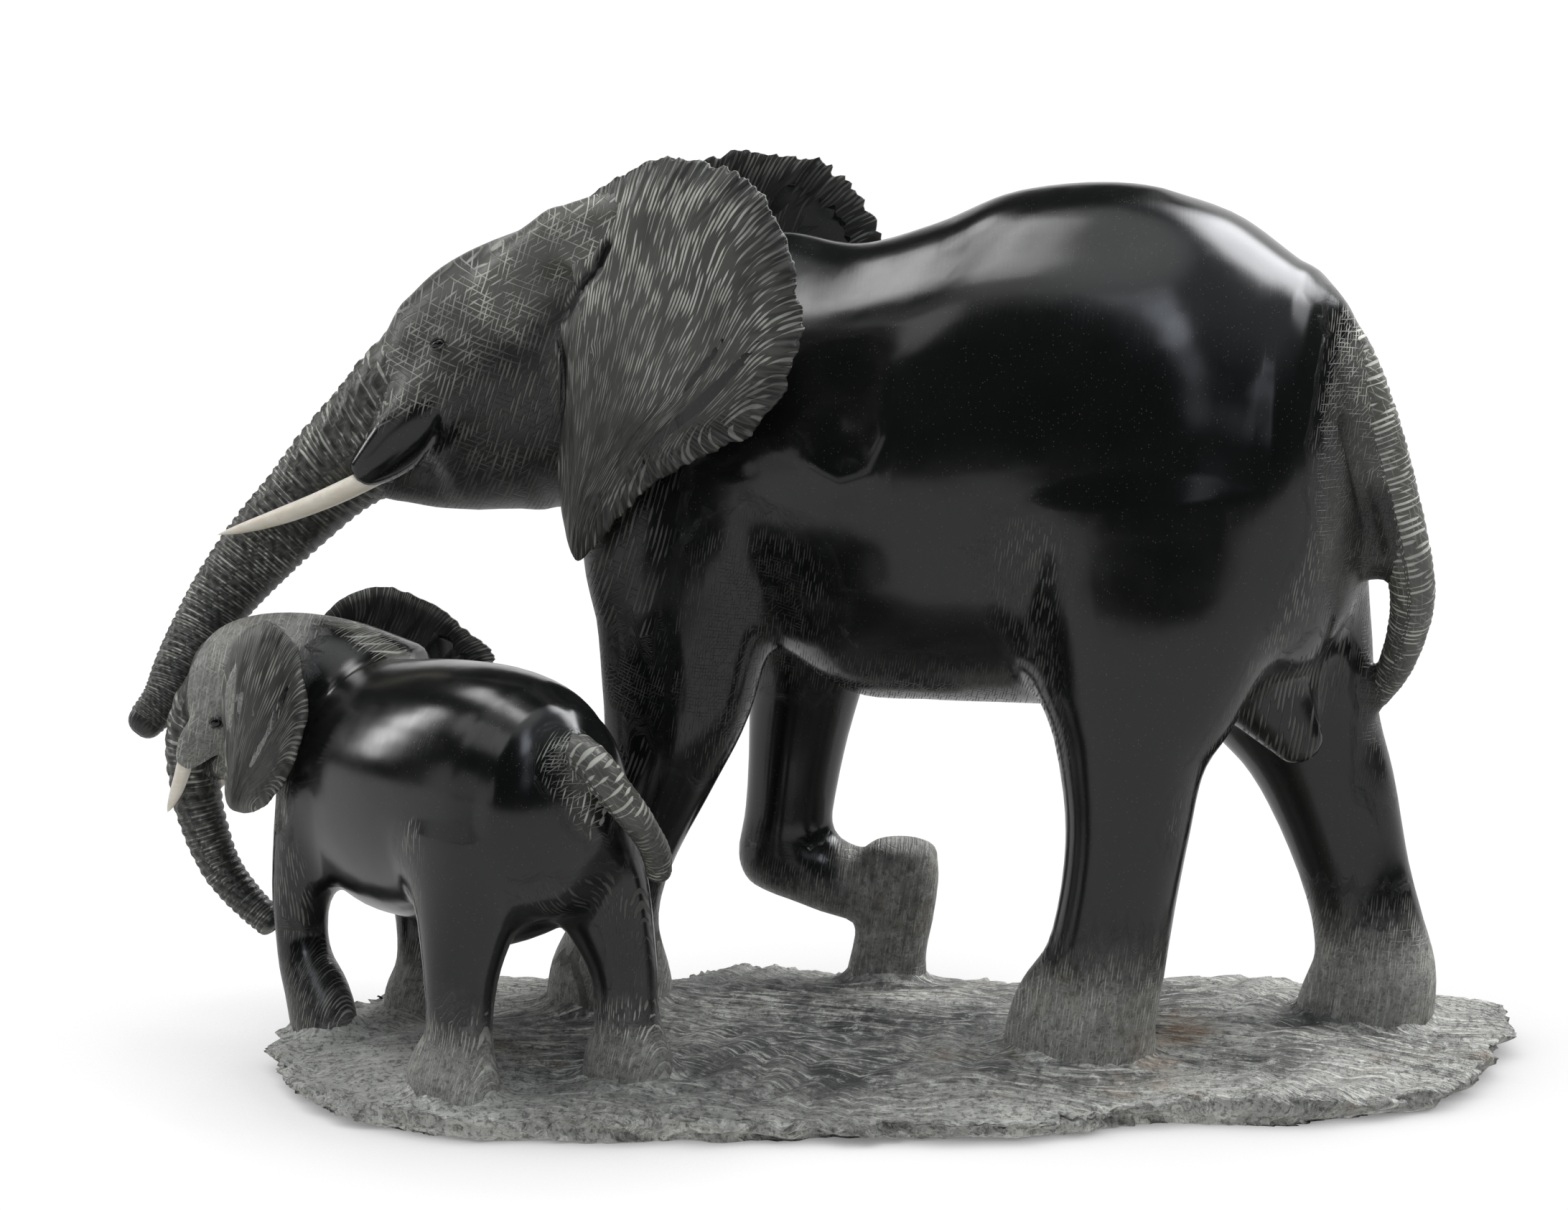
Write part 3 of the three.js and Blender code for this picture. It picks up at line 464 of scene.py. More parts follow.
CREASES = [(COW, TAIL_GAP, 5.0, 3)] + [
    (COW_HEAD, [[x, side * y, z] for x, y, z in path], radius, softness)
    for path, radius, softness in ((EAR_CREASE, 3.3, 2), (EAR_FRONT, 2.6, 2), (MOUTH, 2.4, 3))
    for side in (1, -1)
]


def mirrored(stations):
    return [[s[0], -s[1], *s[2:]] for s in stations]


def cow_lateral(x, z, share):
    bulge = 0.016 * smooth(z, 0.70, 0.90) * (1 - share ** 3)
    return 0.135 + 0.47 * (0.12 - x) + 0.1 * (0.8 - z) + 0.022 * (1 - share * share) + bulge


def calf_near_lateral(x, z, share):
    return 0.19 + 0.42 * (0.22 - x) + 0.12 * (0.8 - z) + 0.035 * (1 - share * share)


def calf_far_lateral(x, z, share):
    return 0.19 + 0.70 * (0.2 - x) + 0.03 * (1 - share * share)


# An ear: a bent sheet with fan furrows and a ragged rim

def fan_angle(x, z, root):
    """The angle about the ear's lower root, from straight up towards the rear."""
    return np.arctan2(root[0] - x, z - root[1])


def ear(frame, outline, hub, lateral, thickness, side, spokes, shares, root=(0, 0), furrows=0, depth=0.0,
        rag=0.0,
        seed=1, reach_scale=1.0, inner=None):
    t = np.arange(spokes) / spokes
    rim = spline([[p[0], 0, p[1]] for p in outline], t, closed=True)
    length = np.linalg.norm(np.roll(rim, -1, 0) - rim, axis=1).sum() * frame.height
    at = t * length
    uneven = 0.6 * wobble(at / 7.0, seed + 1) + 0.5 * wobble(at / 2.6, seed + 5)
    uneven = uneven + 0.6 * np.abs(wobble(at / 11.0, seed + 7))
    front = smooth(rim[:, 0], hub[0] - 0.02, hub[0] + 0.04)
    phase = furrows * t + 0.35 * wobble(at / 16.0, seed)
    rim_angle = fan_angle(rim[:, 0], rim[:, 2], root)
    rings, strokes = [], []
    inner = shares if inner is None else inner
    for face in (1, -1):
        order = shares if face == 1 else inner[::-1]
        for share in order:
            reach = share * reach_scale * (1 + rag * uneven * (1 - 0.8 * front) * smooth(share, 0.8, 1.0))
            x = hub[0] + (rim[:, 0] - hub[0]) * reach
            z = hub[1] + (rim[:, 2] - hub[1]) * reach
            outer = smooth(share, 0.5, 1.0)
            angle = (1 - outer) * fan_angle(x, z, root) + outer * rim_angle
            radius = np.hypot(x - root[0], z - root[1]) * frame.height
            cut = np.abs(np.sin(np.pi * phase)) ** 0.8
            strand = np.abs(np.sin(angle * 22 + 1.4 * wobble2(angle * 5, radius / 30, seed + 3)))
            fold = np.sin(angle * 6.5 + 1.1 * wobble2(angle * 2, radius / 60, seed + 9))
            band = smooth(share, 0.72, 0.92) * (1 - front)
            inside = smooth(share, 0.1, 0.5) * (1 - smooth(share, 0.85, 1.0))
            relief = depth * ((cut - 0.7) * band + (0.6 * (strand - 0.6) + 0.8 * fold) * inside)
            half = 0.5 * thickness * (1.35 - 0.6 * share) * math.sqrt(max(1 - share ** 14, 0.02)) + relief
            if share >= 0.999:
                half = 0.12 * thickness + 0 * t
            waves = np.sin(2 * np.pi * phase / 5.0)
            curl = 0.2 * thickness * smooth(share, 0.84, 1.0) * (1 - front) * waves
            y = lateral(x, z, share) * frame.height + face * half + curl * (furrows > 0)
            ring = np.stack([x * frame.height, side * y, z * frame.height], -1) / frame.height
            flow = np.stack([angle * 130.0, radius, 0.98 * np.clip(radius / 190.0, 0, 1)], -1)
            rings.append(ring if side > 0 else ring[::-1])
            strokes.append(flow if side > 0 else flow[::-1])
    rings = np.array(rings)
    hub_y = lateral(hub[0], hub[1], 0) * frame.height
    half = 0.675 * thickness
    ends = [np.array([hub[0], side * (hub_y + f * half) / frame.height, hub[1]]) for f in (1, -1)]
    vertices, triangles = closed_skin(rings, ends[0], ends[1])
    share_of = np.concatenate([[0], np.repeat(list(shares) + list(inner[::-1]), spokes), [0]])
    stroke = np.vstack([strokes[0][0], np.array(strokes).reshape(-1, 3), strokes[-1][0]])
    return frame.world(vertices), triangles, share_of, stroke


# Parts: world vertices, triangles, and for each vertex a zone (tooled, rough, pale, and dark, which is
# painted shade in the creases and eyes) and a stroke: millimetres across and along the carver's strokes, and
# a kind, which is below 1 for the height on an ear and otherwise 1 plus how much other strokes cross

PARTS = []


def part(vertices, triangles, zone, stroke, normals=None):
    PARTS.append((vertices, triangles, np.asarray(zone, float), np.asarray(stroke, float), normals))


def face_turn(vertices, triangles):
    """Turns the triangles so that the closed skin's normals point outwards."""
    a, b, c = (vertices[triangles[:, i]] for i in range(3))
    volume = np.einsum("ij,ij->i", a, np.cross(b, c)).sum()
    return triangles[:, ::-1] if volume < 0 else triangles


def vertex_normals(vertices, triangles):
    a, b, c = (vertices[triangles[:, i]] for i in range(3))
    face = np.cross(b - a, c - a)
    total = np.zeros_like(vertices)
    for i in range(3):
        np.add.at(total, triangles[:, i], face)
    return total / np.maximum(np.linalg.norm(total, axis=1, keepdims=True), 1e-12)


def add_limb(field, frame, stations, blend, **options):
    rings, _, start, end = loft(stations, **options)
    vertices, triangles = closed_skin(rings, start, end)
    field.add(frame.world(vertices), face_turn(frame.world(vertices), triangles), blend)


def add_blob(field, frame, place, size, blend):
    sides, rows = 24, 12
    angles = 2 * np.pi * np.arange(sides) / sides
    rings = []
    for i in range(1, rows):
        polar = math.pi * i / rows
        rings.append(np.stack([size[0] * math.sin(polar) * np.cos(angles),
                               size[1] * math.sin(polar) * np.sin(angles),
                               np.full(sides, size[2] * math.cos(polar))], -1) + place)
    top = np.array(place) + [0, 0, size[2]]
    bottom = np.array(place) - [0, 0, size[2]]
    vertices, triangles = closed_skin(np.array(rings), top, bottom)
    world = frame.world(vertices)
    field.add(world, face_turn(world, triangles), blend)


# The smooth block: bodies, legs, heads and the roots of ears, trunks and tails

def build_field():
    field = Field([-420, -175, -12], [335, 225, 495])
    add_limb(field, COW, COW_BODY, 6, sides=72, rings=70, start_cap=0.088, end_cap=0.05, upright=True)
    for stations, caps, blend in zip(COW_LEGS, COW_LEG_CAPS, COW_LEG_BLENDS):
        add_limb(field, COW, stations, blend, start_cap=caps[0], end_cap=caps[1], cap_rings=4)
    add_limb(field, COW, COW_FLAP, 12)
    add_limb(field, COW_HEAD, COW_SKULL, 17, sides=64, end_cap=0.055)
    add_limb(field, COW_HEAD, COW_JAW, 9)
    add_limb(field, COW_HEAD, COW_TRUNK, 9, last=0.62,
             scale=lambda u: 1.0 - 0.06 * float(smooth(u, 0.1, 0.3)))
    add_limb(field, COW_HEAD, COW_SHEATH, 9, end_cap=0.01)
    add_limb(field, COW_HEAD, mirrored(COW_SHEATH), 9, end_cap=0.01)
    add_limb(field, COW, COW_TAIL, 14, scale=lambda u: 0.9)
    add_limb(field, COW, COW_TAIL_WEB, 12)
    for side, drop in ((1, 0.0), (-1, FAR_EAR_DROP)):
        outline = [[p[0], p[1] - drop] for p in COW_EAR]
        vertices, triangles, _, _ = ear(
            COW_HEAD, outline, COW_EAR_HUB, cow_lateral, 8.0, side, 60, [0.3, 0.6, 0.85, 1.0],
            reach_scale=0.93)
        field.add(vertices, face_turn(vertices, triangles), 9)
        bridge = [[0.19, 0.07, 0.885], [0.13, 0.115, 0.93], [0.08, 0.148, 0.952], [0.02, 0.16, 0.965]]
        path = COW_HEAD.world([[b[0], side * b[1], b[2] - drop] for b in bridge])
        field.tube(path, [17, 16, 10, 3], 18)

    add_limb(field, CALF, CALF_BODY, 5, sides=64, rings=60, start_cap=0.13, end_cap=0.05, upright=True)
    for stations in CALF_LEGS:
        add_limb(field, CALF, stations, 14)
    add_limb(field, CALF, CALF_FLAP, 7)
    add_limb(field, CALF_HEAD, CALF_SKULL, 9, sides=56, end_cap=0.09)
    add_limb(field, CALF_HEAD, CALF_JAW, 5, end_cap=0.03)
    add_limb(field, CALF_HEAD, CALF_TRUNK, 5, last=0.75,
             scale=lambda u: 1.0 - 0.07 * float(smooth(u, 0.1, 0.3)))
    add_limb(field, CALF_HEAD, CALF_SHEATH, 5, end_cap=0.01)
    add_limb(field, CALF_HEAD, mirrored(CALF_SHEATH), 5, end_cap=0.01)
    add_limb(field, CALF, CALF_TAIL, 7, scale=lambda u: 0.85)
    for side, outline, hub, lateral in (
            (1, CALF_NEAR_EAR, [0.09, 0.78], calf_near_lateral),
            (-1, CALF_FAR_EAR, [0.02, 0.78], calf_far_lateral)):
        vertices, triangles, _, _ = ear(
            CALF_HEAD, outline, hub, lateral, 5.0, side, 48, [0.3, 0.6, 0.85, 1.0], reach_scale=0.92)
        field.add(vertices, face_turn(vertices, triangles), 5)
        add_blob(field, CALF_HEAD, [0.13, side * 0.185, 0.78], [0.075, 0.08, 0.14], 8)
    field.soften(1)
    carve(field)
    return field


# Soft forms: frame, path, reach and depth in millimetres; a negative depth raises the stone
SHELF = [[0.26, 0.095, 0.875], [0.14, 0.105, 0.90], [0.02, 0.110, 0.918], [-0.10, 0.110, 0.935],
         [-0.19, 0.11, 0.935]]
SPINE = [[0.25, 0, 0.935], [0.10, 0, 0.95], [-0.05, 0, 0.985], [-0.20, 0, 1.0]]
DISH = [[0.125, 0.215, 0.775], [0.115, 0.222, 0.735]]
DISH_EDGE = [[0.145, 0.212, 0.685], [0.11, 0.220, 0.668], [0.07, 0.224, 0.68], [0.055, 0.222, 0.725]]
FLANK = [[-0.13, 0.205, 0.58], [-0.115, 0.20, 0.48]]
FORMS = [
    (COW, SHELF, 25, 4.0), (COW, SPINE, 11, -1.6), (COW, DISH, 19, 6.0), (COW, DISH_EDGE, 8, -2.2),
    (COW, FLANK, 12, 2.5), (COW_HEAD, COW_EYE, 5, -2.0), (CALF_HEAD, CALF_EYE, 4, -1.5),
]


def carve(field):
    """The soft forms of the body and the creases that are cut into them."""
    for frame, path, reach, depth in FORMS:
        for side in (1, -1):
            if side == 1 or path is not SPINE:
                field.press(frame.world([[q[0], side * q[1], q[2]] for q in path]), reach, depth)
    for frame, path, radius, blend in CREASES:
        field.tube(frame.world(path), radius, blend, cut=True)


def fewer(vertices, quads, target):
    """The surface with about target triangles, most of them where it bends."""
    mesh = bpy.data.meshes.new("block")
    mesh.from_pydata(vertices.tolist(), [], quads.tolist())
    thing = bpy.data.objects.new("block", mesh)
    bpy.context.scene.collection.objects.link(thing)
    modifier = thing.modifiers.new("fewer", "DECIMATE")
    modifier.ratio = min(1.0, target / (len(quads) * (quads.shape[1] - 2)))
    bpy.context.view_layer.update()
    evaluated = thing.evaluated_get(bpy.context.evaluated_depsgraph_get())
    result = evaluated.to_mesh()
    result.calc_loop_triangles()
    count = len(result.vertices)
    points = np.empty(count * 3)
    result.vertices.foreach_get("co", points)
    triangles = np.empty(len(result.loop_triangles) * 3, np.int32)
    result.loop_triangles.foreach_get("vertices", triangles)
    evaluated.to_mesh_clear()
    bpy.data.objects.remove(thing)
    bpy.data.meshes.remove(mesh)
    return points.reshape(-1, 3), triangles.reshape(-1, 3)


def capsule_mask(points, path, radius, soft):
    """1 within radius of a path of points, falling to 0 over soft."""
    path = np.asarray(path, float)
    best = np.full(len(points), 1e9)
    for a, b in zip(path[:-1], path[1:]):
        along = b - a
        share = np.clip(((points - a) @ along) / max(along @ along, 1e-12), 0, 1)
        best = np.minimum(best, np.linalg.norm(points - a - share[:, None] * along, axis=1))
    return 1 - smooth(best, radius, radius + soft)


def block_zones(world):
    """Zones and strokes of the smooth block from where each point lies in the figures' frames."""
    cow, head = COW.local(world), COW_HEAD.local(world)
    calf, calf_head = CALF.local(world), CALF_HEAD.local(world)
    belongs_to_calf = (np.abs(calf[:, 0]) < 0.75) & (np.abs(calf[:, 1]) < 0.42) & (calf[:, 2] < 1.1)
    mother = ~belongs_to_calf
    tooled = np.zeros(len(world))
    pale = np.zeros(len(world))

    edge = head[:, 0] + 0.10 * (head[:, 2] - 0.8)
    on_head = smooth(edge, -0.06, 0.02) * mother
    tooled = np.maximum(tooled, on_head)
    lip = capsule_mask(head, [[0.385, 0.10, 0.64], [0.34, 0.112, 0.667], [0.30, 0.118, 0.69]], 0.024,
                       0.02) * mother
    tooled = tooled * (1 - lip)
    fan = capsule_mask(head, [[0.36, 0.08, 0.72], [0.31, 0.11, 0.745]], 0.03, 0.03) * mother
    temple = capsule_mask(head, [[0.21, 0.12, 0.87], [0.135, 0.153, 0.935], [0.10, 0.16, 0.96]], 0.035,
                          0.05) * mother
    brow = smooth(head[:, 2] + 0.9 * head[:, 0], 0.92, 1.05) * on_head
    pale = np.maximum(0.12 * on_head,
                      np.maximum(0.5 * fan, np.maximum(1.15 * temple, 0.52 * brow))) * (1 - lip)
    foot = (1 - smooth(cow[:, 2], 0.06, 0.17)) * mother
    folded = capsule_mask(cow, [[0.15, -0.12, 0.15], [0.16, -0.12, 0.0]], 0.07, 0.03) * mother
    foot = np.maximum(foot, folded)
    tooled = np.maximum(tooled, foot)
    pale = np.maximum(pale, (1.1 - 0.6 * folded) * foot * foot)
    rear = smooth(-cow[:, 0], 0.422, 0.438) * smooth(cow[:, 2], 0.25, 0.4) * mother
    rear = rear * (1 - smooth(cow[:, 2], 0.82, 0.86))
    root = capsule_mask(cow, [[-0.41, 0.0, 0.83], [-0.45, 0.0, 0.76], [-0.46, -0.01, 0.70]], 0.03,
                        0.035) * mother
    flap = capsule_mask(cow, [[-0.41, -0.03, 0.47], [-0.37, 0.0, 0.40], [-0.35, 0.01, 0.35]], 0.05,
                        0.04) * mother
    rear = np.maximum(rear, root)
    tooled = np.maximum(tooled, rear)
    armpit = capsule_mask(cow, [[0.22, 0.19, 0.52], [0.25, 0.2, 0.40], [0.24, 0.14, 0.36]], 0.03,
                          0.09) * mother
    flank = capsule_mask(cow, [[-0.12, 0.215, 0.60], [-0.10, 0.21, 0.47], [-0.13, 0.17, 0.38]], 0.012,
                         0.05) * mother
    belly = (1 - smooth(cow[:, 2], 0.40, 0.47)) * smooth(cow[:, 2], 0.35, 0.40)
    belly = belly * smooth(cow[:, 0], -0.14, -0.05) * mother
    hind = capsule_mask(cow,
                        [[-0.43, 0.09, 0.62], [-0.41, 0.125, 0.50], [-0.36, 0.16, 0.38],
                         [-0.31, 0.18, 0.28]],
                        0.012, 0.035) * mother
    tooled = np.maximum.reduce([tooled, armpit * 0.55, flank * 0.55, belly * 0.5, hind * 0.5, flap * 0.75])
    pale = np.maximum.reduce([pale, 0.15 * rear, 1.0 * root, 0.08 * armpit, 0.12 * flank, 0.06 * belly,
                              0.25 * hind,
                              0.12 * flap])
    cross = np.maximum.reduce([0.25 * on_head, brow, temple, 0.6 * foot, 0.8 * rear, 0.8 * armpit,
                               0.8 * belly])
    fine = np.where(np.maximum.reduce([armpit, flank, belly, hind, foot, rear]) > 0.02, 1.7, 1.0)

    def laid(local, height, lean, crossing):
        """Strokes across and along, in millimetres, that lean towards the rear as they rise."""
        across = (local[:, 0] + lean * local[:, 2] + 0.35 * local[:, 1]) * height
        along = (local[:, 2] - lean * local[:, 0]) * height
        return np.stack([across, along, 1 + np.clip(crossing, 0, 1)], -1)

    stroke = np.where(on_head[:, None] > 0.01, laid(head, COW.height, 0.3, cross),
                      laid(cow, COW.height, 0.15, cross))
    stroke[:, :2] *= fine[:, None]

    calf_on_head = smooth(calf_head[:, 0], 0.0, 0.06) * smooth(calf[:, 2], 0.47, 0.55) * belongs_to_calf
    calf_foot = (1 - smooth(calf[:, 2], 0.06, 0.25)) * belongs_to_calf
    calf_rear = smooth(-calf[:, 0], 0.47, 0.54) * smooth(calf[:, 2], 0.2, 0.5) * belongs_to_calf
    nape = capsule_mask(calf, [[0.52, 0.0, 0.97], [0.42, 0.0, 0.95], [0.30, -0.03, 0.905]], 0.035, 0.02)
    nape = nape * belongs_to_calf
    calf_rear = calf_rear * (1 - smooth(calf[:, 2], 0.42, 0.55))
    calf_root = capsule_mask(calf, [[-0.56, 0.03, 0.80], [-0.60, 0.01, 0.74], [-0.62, -0.05, 0.66]], 0.04,
                             0.045)
    calf_root = calf_root * belongs_to_calf
    loin = capsule_mask(calf, [[-0.25, 0.258, 0.60], [-0.236, 0.25, 0.52], [-0.22, 0.22, 0.40]], 0.012,
                        0.045)
    loin = loin * belongs_to_calf
    shin = capsule_mask(calf, [[0.45, 0.21, 0.55], [0.40, 0.23, 0.41], [0.44, 0.21, 0.25]], 0.02, 0.06)
    shin = shin * belongs_to_calf
    ball = capsule_mask(calf, [[0.40, 0.16, 0.13], [0.40, 0.16, 0.04]], 0.10, 0.04)
    calf_foot = calf_foot * (1 - 0.5 * ball)
    tooled = np.maximum.reduce([tooled, calf_on_head, calf_foot, nape, calf_rear * 0.6, calf_root * 0.8,
                                loin * 0.6,
                                shin * 0.5])
    pale = np.maximum.reduce([pale, 1.15 * calf_on_head, 1.3 * calf_foot ** 1.5, 1.1 * nape,
                              0.08 * calf_rear,
                              0.75 * calf_root, 0.55 * loin, 0.35 * shin])
    # Painted shade: the creases are darkened in colour.
    dark = crease_mask(world)
    calf_cross = np.maximum.reduce([0.7 * calf_on_head, 0.5 * calf_foot, nape, 0.7 * calf_root])
    calf_stroke = np.where(calf_on_head[:, None] > 0.01, laid(calf_head, CALF.height, 0.2, calf_cross),
                           laid(calf, CALF.height, 0.1, calf_cross))
    calf_stroke[:, :2] *= np.where(np.maximum.reduce([calf_foot, calf_rear, calf_root]) > 0.02, 1.9,
                                   1.4)[:, None]
    stroke = np.where(belongs_to_calf[:, None], calf_stroke, stroke)
    rough = np.maximum.reduce([0.5 * foot * foot, 0.55 * calf_foot ** 2, 0.35 * calf_on_head])
    return np.stack([tooled, rough, pale, dark], -1), stroke


# A trunk with a net of hand-cut cells; its end is pressed in to a share of the cap's length
TIP_HOLLOW = 0.1


def trunk(frame, stations, sides, rows, per_row, first, end_cap, cells, lean, height_share, seed,
          fade=0.12):
    """per_row: rings for each row of cells; cells: how many go round; lean: how far a row turns the next."""
    st = np.asarray(stations, float)
    fine = np.linspace(0, 1, 600)
    centre = spline(st[:, :3], fine)
    size = spline(st[:, 3:5], fine)
    step = np.linalg.norm(np.diff(centre, axis=0), axis=1)
    pace = step / (0.5 * (size[1:, 0] + size[:-1, 0]))
    phase_fine = np.concatenate([[0], np.cumsum(pace)])
    phase_first = np.interp(first, fine, phase_fine)
    phase = np.linspace(phase_first, phase_fine[-1], rows * per_row + 1)
    us = np.interp(phase, phase_fine, fine)
    row = (phase - phase_first) / (phase_fine[-1] - phase_first) * rows
    angles = 2 * np.pi * np.arange(sides) / sides
    from_top = np.abs(((angles - np.pi / 2 + np.pi) % (2 * np.pi)) - np.pi)
    rings, strokes, pales = [], [], []
    for u, r in zip(us, row):
        base, _, _, _ = loft(st[:, :], sides=sides, rings=1, cap_rings=0, first=u, last=min(1.0, u + 1e-4))
        ring = base[0]
        mid = ring.mean(0)
        radius = np.linalg.norm(ring - mid, axis=1)
        mean = radius.mean()
        a = r + 0.10 * wobble2(angles * 2.0, np.full(sides, r * 0.8), seed) - 0.9 * from_top / np.pi
        sway = wobble2(angles * 1.5, np.full(sides, r * 0.5), seed + 1)
        b = cells * from_top / (2 * np.pi) - lean * r + 0.16 * sway
        across = np.abs(np.sin(np.pi * a)) ** 0.6
        along = np.abs(np.sin(np.pi * b)) ** 0.6
        cell = 0.15 + 0.85 * along
        under = smooth(from_top, 0.62 * np.pi, 0.9 * np.pi)
        cell = cell * (1 - under) + under * 0.9
        amount = height_share * mean * smooth(u, first, first + fade)
        lift = amount * (across * cell - 0.62)
        rings.append(mid + (ring - mid) * (1 + lift / radius)[:, None])
        strokes.append(np.stack([np.full(sides, r * 6.0), angles * mean * frame.height, 1.15 + 0 * radius],
                                -1))
        groove = 1 - np.minimum(across, 0.1 + 0.9 * along)
        net = smooth(groove, 0.25, 0.7) * (1 - 0.6 * under) * float(smooth(u, first, first + fade))
        pales.append(0.16 + 0.85 * net + 0.25 * (1 - under) * smooth(from_top, 1.3, 0.4))
    tangent = spline(st[:, :3], 1.0) - spline(st[:, :3], 0.995)
    tangent /= np.linalg.norm(tangent)
    tip = rings[-1]
    mid = tip.mean(0)
    lips = 5
    for i in range(1, lips + 1):
        angle = (math.pi / 2) * i / (lips + 1)
        rings.append(mid + tangent * end_cap * math.sin(angle) + (tip - mid) * math.cos(angle) ** 0.8)
        strokes.append(strokes[-1])
        pales.append(np.full(sides, 0.2))
    end = mid + tangent * end_cap * TIP_HOLLOW
    start = rings[0].mean(0)
    vertices, triangles = closed_skin(np.array(rings), start, end)
    vertices = frame.world(vertices)
    triangles = face_turn(vertices, triangles)
    stroke = np.vstack([strokes[0][0], np.array(strokes).reshape(-1, 3), strokes[-1][0]])
    zone = np.zeros((len(vertices), 4))
    zone[:, 0] = 1
    zone[:, 2] = np.concatenate([[0.2], np.array(pales).ravel(), [0.2]])
    part(vertices, triangles, zone, stroke)


def tail(frame, stations, sides, rows, per_row, end_cap, seed, depth_share, tones):
    """tones: how pale the tip is, and how much paler the root."""
    st = np.asarray(stations, float)
    count = rows * per_row
    us = np.linspace(0, 1, count + 1)
    angles = 2 * np.pi * np.arange(sides) / sides
    rings, strokes = [], []
    for i, u in enumerate(us):
        base, _, _, _ = loft(st, sides=sides, rings=1, cap_rings=0, first=min(u, 1 - 1e-4),
                             last=min(1.0, u + 1e-4))
        ring = base[0]
        mid = ring.mean(0)
        r = i / per_row
        a = r + 0.2 * np.sin(angles * 1 + seed) + 0.12 * wobble2(angles * 2, np.full(sides, r), seed)
        b = 9 * angles / (2 * np.pi) + 0.25 * r
        ribs = np.abs(np.sin(np.pi * a)) ** 0.6 * (0.6 + 0.4 * np.abs(np.sin(np.pi * b)))
        lift = depth_share * (ribs - 0.55)
        rings.append(mid + (ring - mid) * (1 + lift)[:, None])
        strokes.append(np.stack([np.full(sides, r * 4.0), angles * 12, 1.3 + angles * 0], -1))
    tangent = spline(st[:, :3], 1.0) - spline(st[:, :3], 0.99)
    tangent /= np.linalg.norm(tangent)
    tip = rings[-1]
    mid = tip.mean(0)
    for i in range(1, 5):
        angle = (math.pi / 2) * i / 5
        rings.append(mid + tangent * end_cap * math.sin(angle) + (tip - mid) * math.cos(angle))
        strokes.append(strokes[-1])
    vertices, triangles = closed_skin(np.array(rings), rings[0].mean(0), mid + tangent * end_cap)
    vertices = frame.world(vertices)
    triangles = face_turn(vertices, triangles)
    stroke = np.vstack([strokes[0][0], np.array(strokes).reshape(-1, 3), strokes[-1][0]])
    zone = np.zeros((len(vertices), 4))
    zone[:, 0] = 1
    zone[:, 2] = tones[0] + tones[1] * np.concatenate([[1], np.repeat(np.linspace(1, 0, len(rings)), sides),
                                                       [0]])
    part(vertices, triangles, zone, stroke)


def crease_mask(world, flat=None):
    """How deep each point lies in one of the creases, 0 to 1: the painted crease shade, and on the ears how
    far they are pressed in; flat leaves out the sideways distance.
    """
    dark = np.zeros(len(world))
    for frame, path, radius, _ in CREASES:
        points, line = frame.local(world), np.array(path, float)
        if flat is not None:
            if frame is not flat or line[0, 1] * points[:, 1].mean() < 0 or line[0, 0] > 0.14:
                continue
            points, line = points * [1, 0, 1], line * [1, 0, 1]
        near = capsule_mask(points, line, 0.45 * radius / frame.height, 0.7 * radius / frame.height)
        dark = np.maximum(dark, near)
    return dark


def ear_shares(count):
    shares = list(1 - (1 - np.linspace(0.06, 1.0, count)) ** 1.2)
    shares[-1] = 1.0
    return shares


def ear_part(frame, outline, hub, root, lateral, thickness, side, spokes, rings, furrows, depth, rag, seed,
             tones):
    """rings: counts on the outer and the inner face; tones: how pale bottom, top and rim are, the top being
    paler partly from the carving and partly as painted light from above.
    """
    vertices, triangles, share_of, stroke = ear(
        frame, outline, hub, lateral, thickness, side, spokes, ear_shares(rings[0]), root, furrows, depth,
        rag, seed,
        inner=ear_shares(rings[1]))
    pressed = crease_mask(vertices, frame)[:, None] * 4.0 * side
    vertices = vertices - pressed * frame.rotation[:, 1]
    triangles = face_turn(vertices, triangles)
    local = frame.local(vertices)
    zone = np.zeros((len(vertices), 4))
    zone[:, 0] = 1
    height = local[:, 2] + 0.25 * wobble2(local[:, 0] * 22, local[:, 2] * 22, seed) * 0.2
    # Paler towards the top: partly the carving, partly painted light from above.
    rise = smooth(height, hub[1] - 0.09, hub[1] + 0.10)
    zone[:, 2] = tones[0] + (tones[1] - tones[0]) * rise
    edge = smooth(share_of, 0.86, 0.96)
    zone[:, 2] = zone[:, 2] * (1 - edge) + tones[2] * edge
    # Painted shade where the ear lies in the head's creases.
    zone[:, 3] = crease_mask(vertices, frame)
    part(vertices, triangles, zone, stroke)


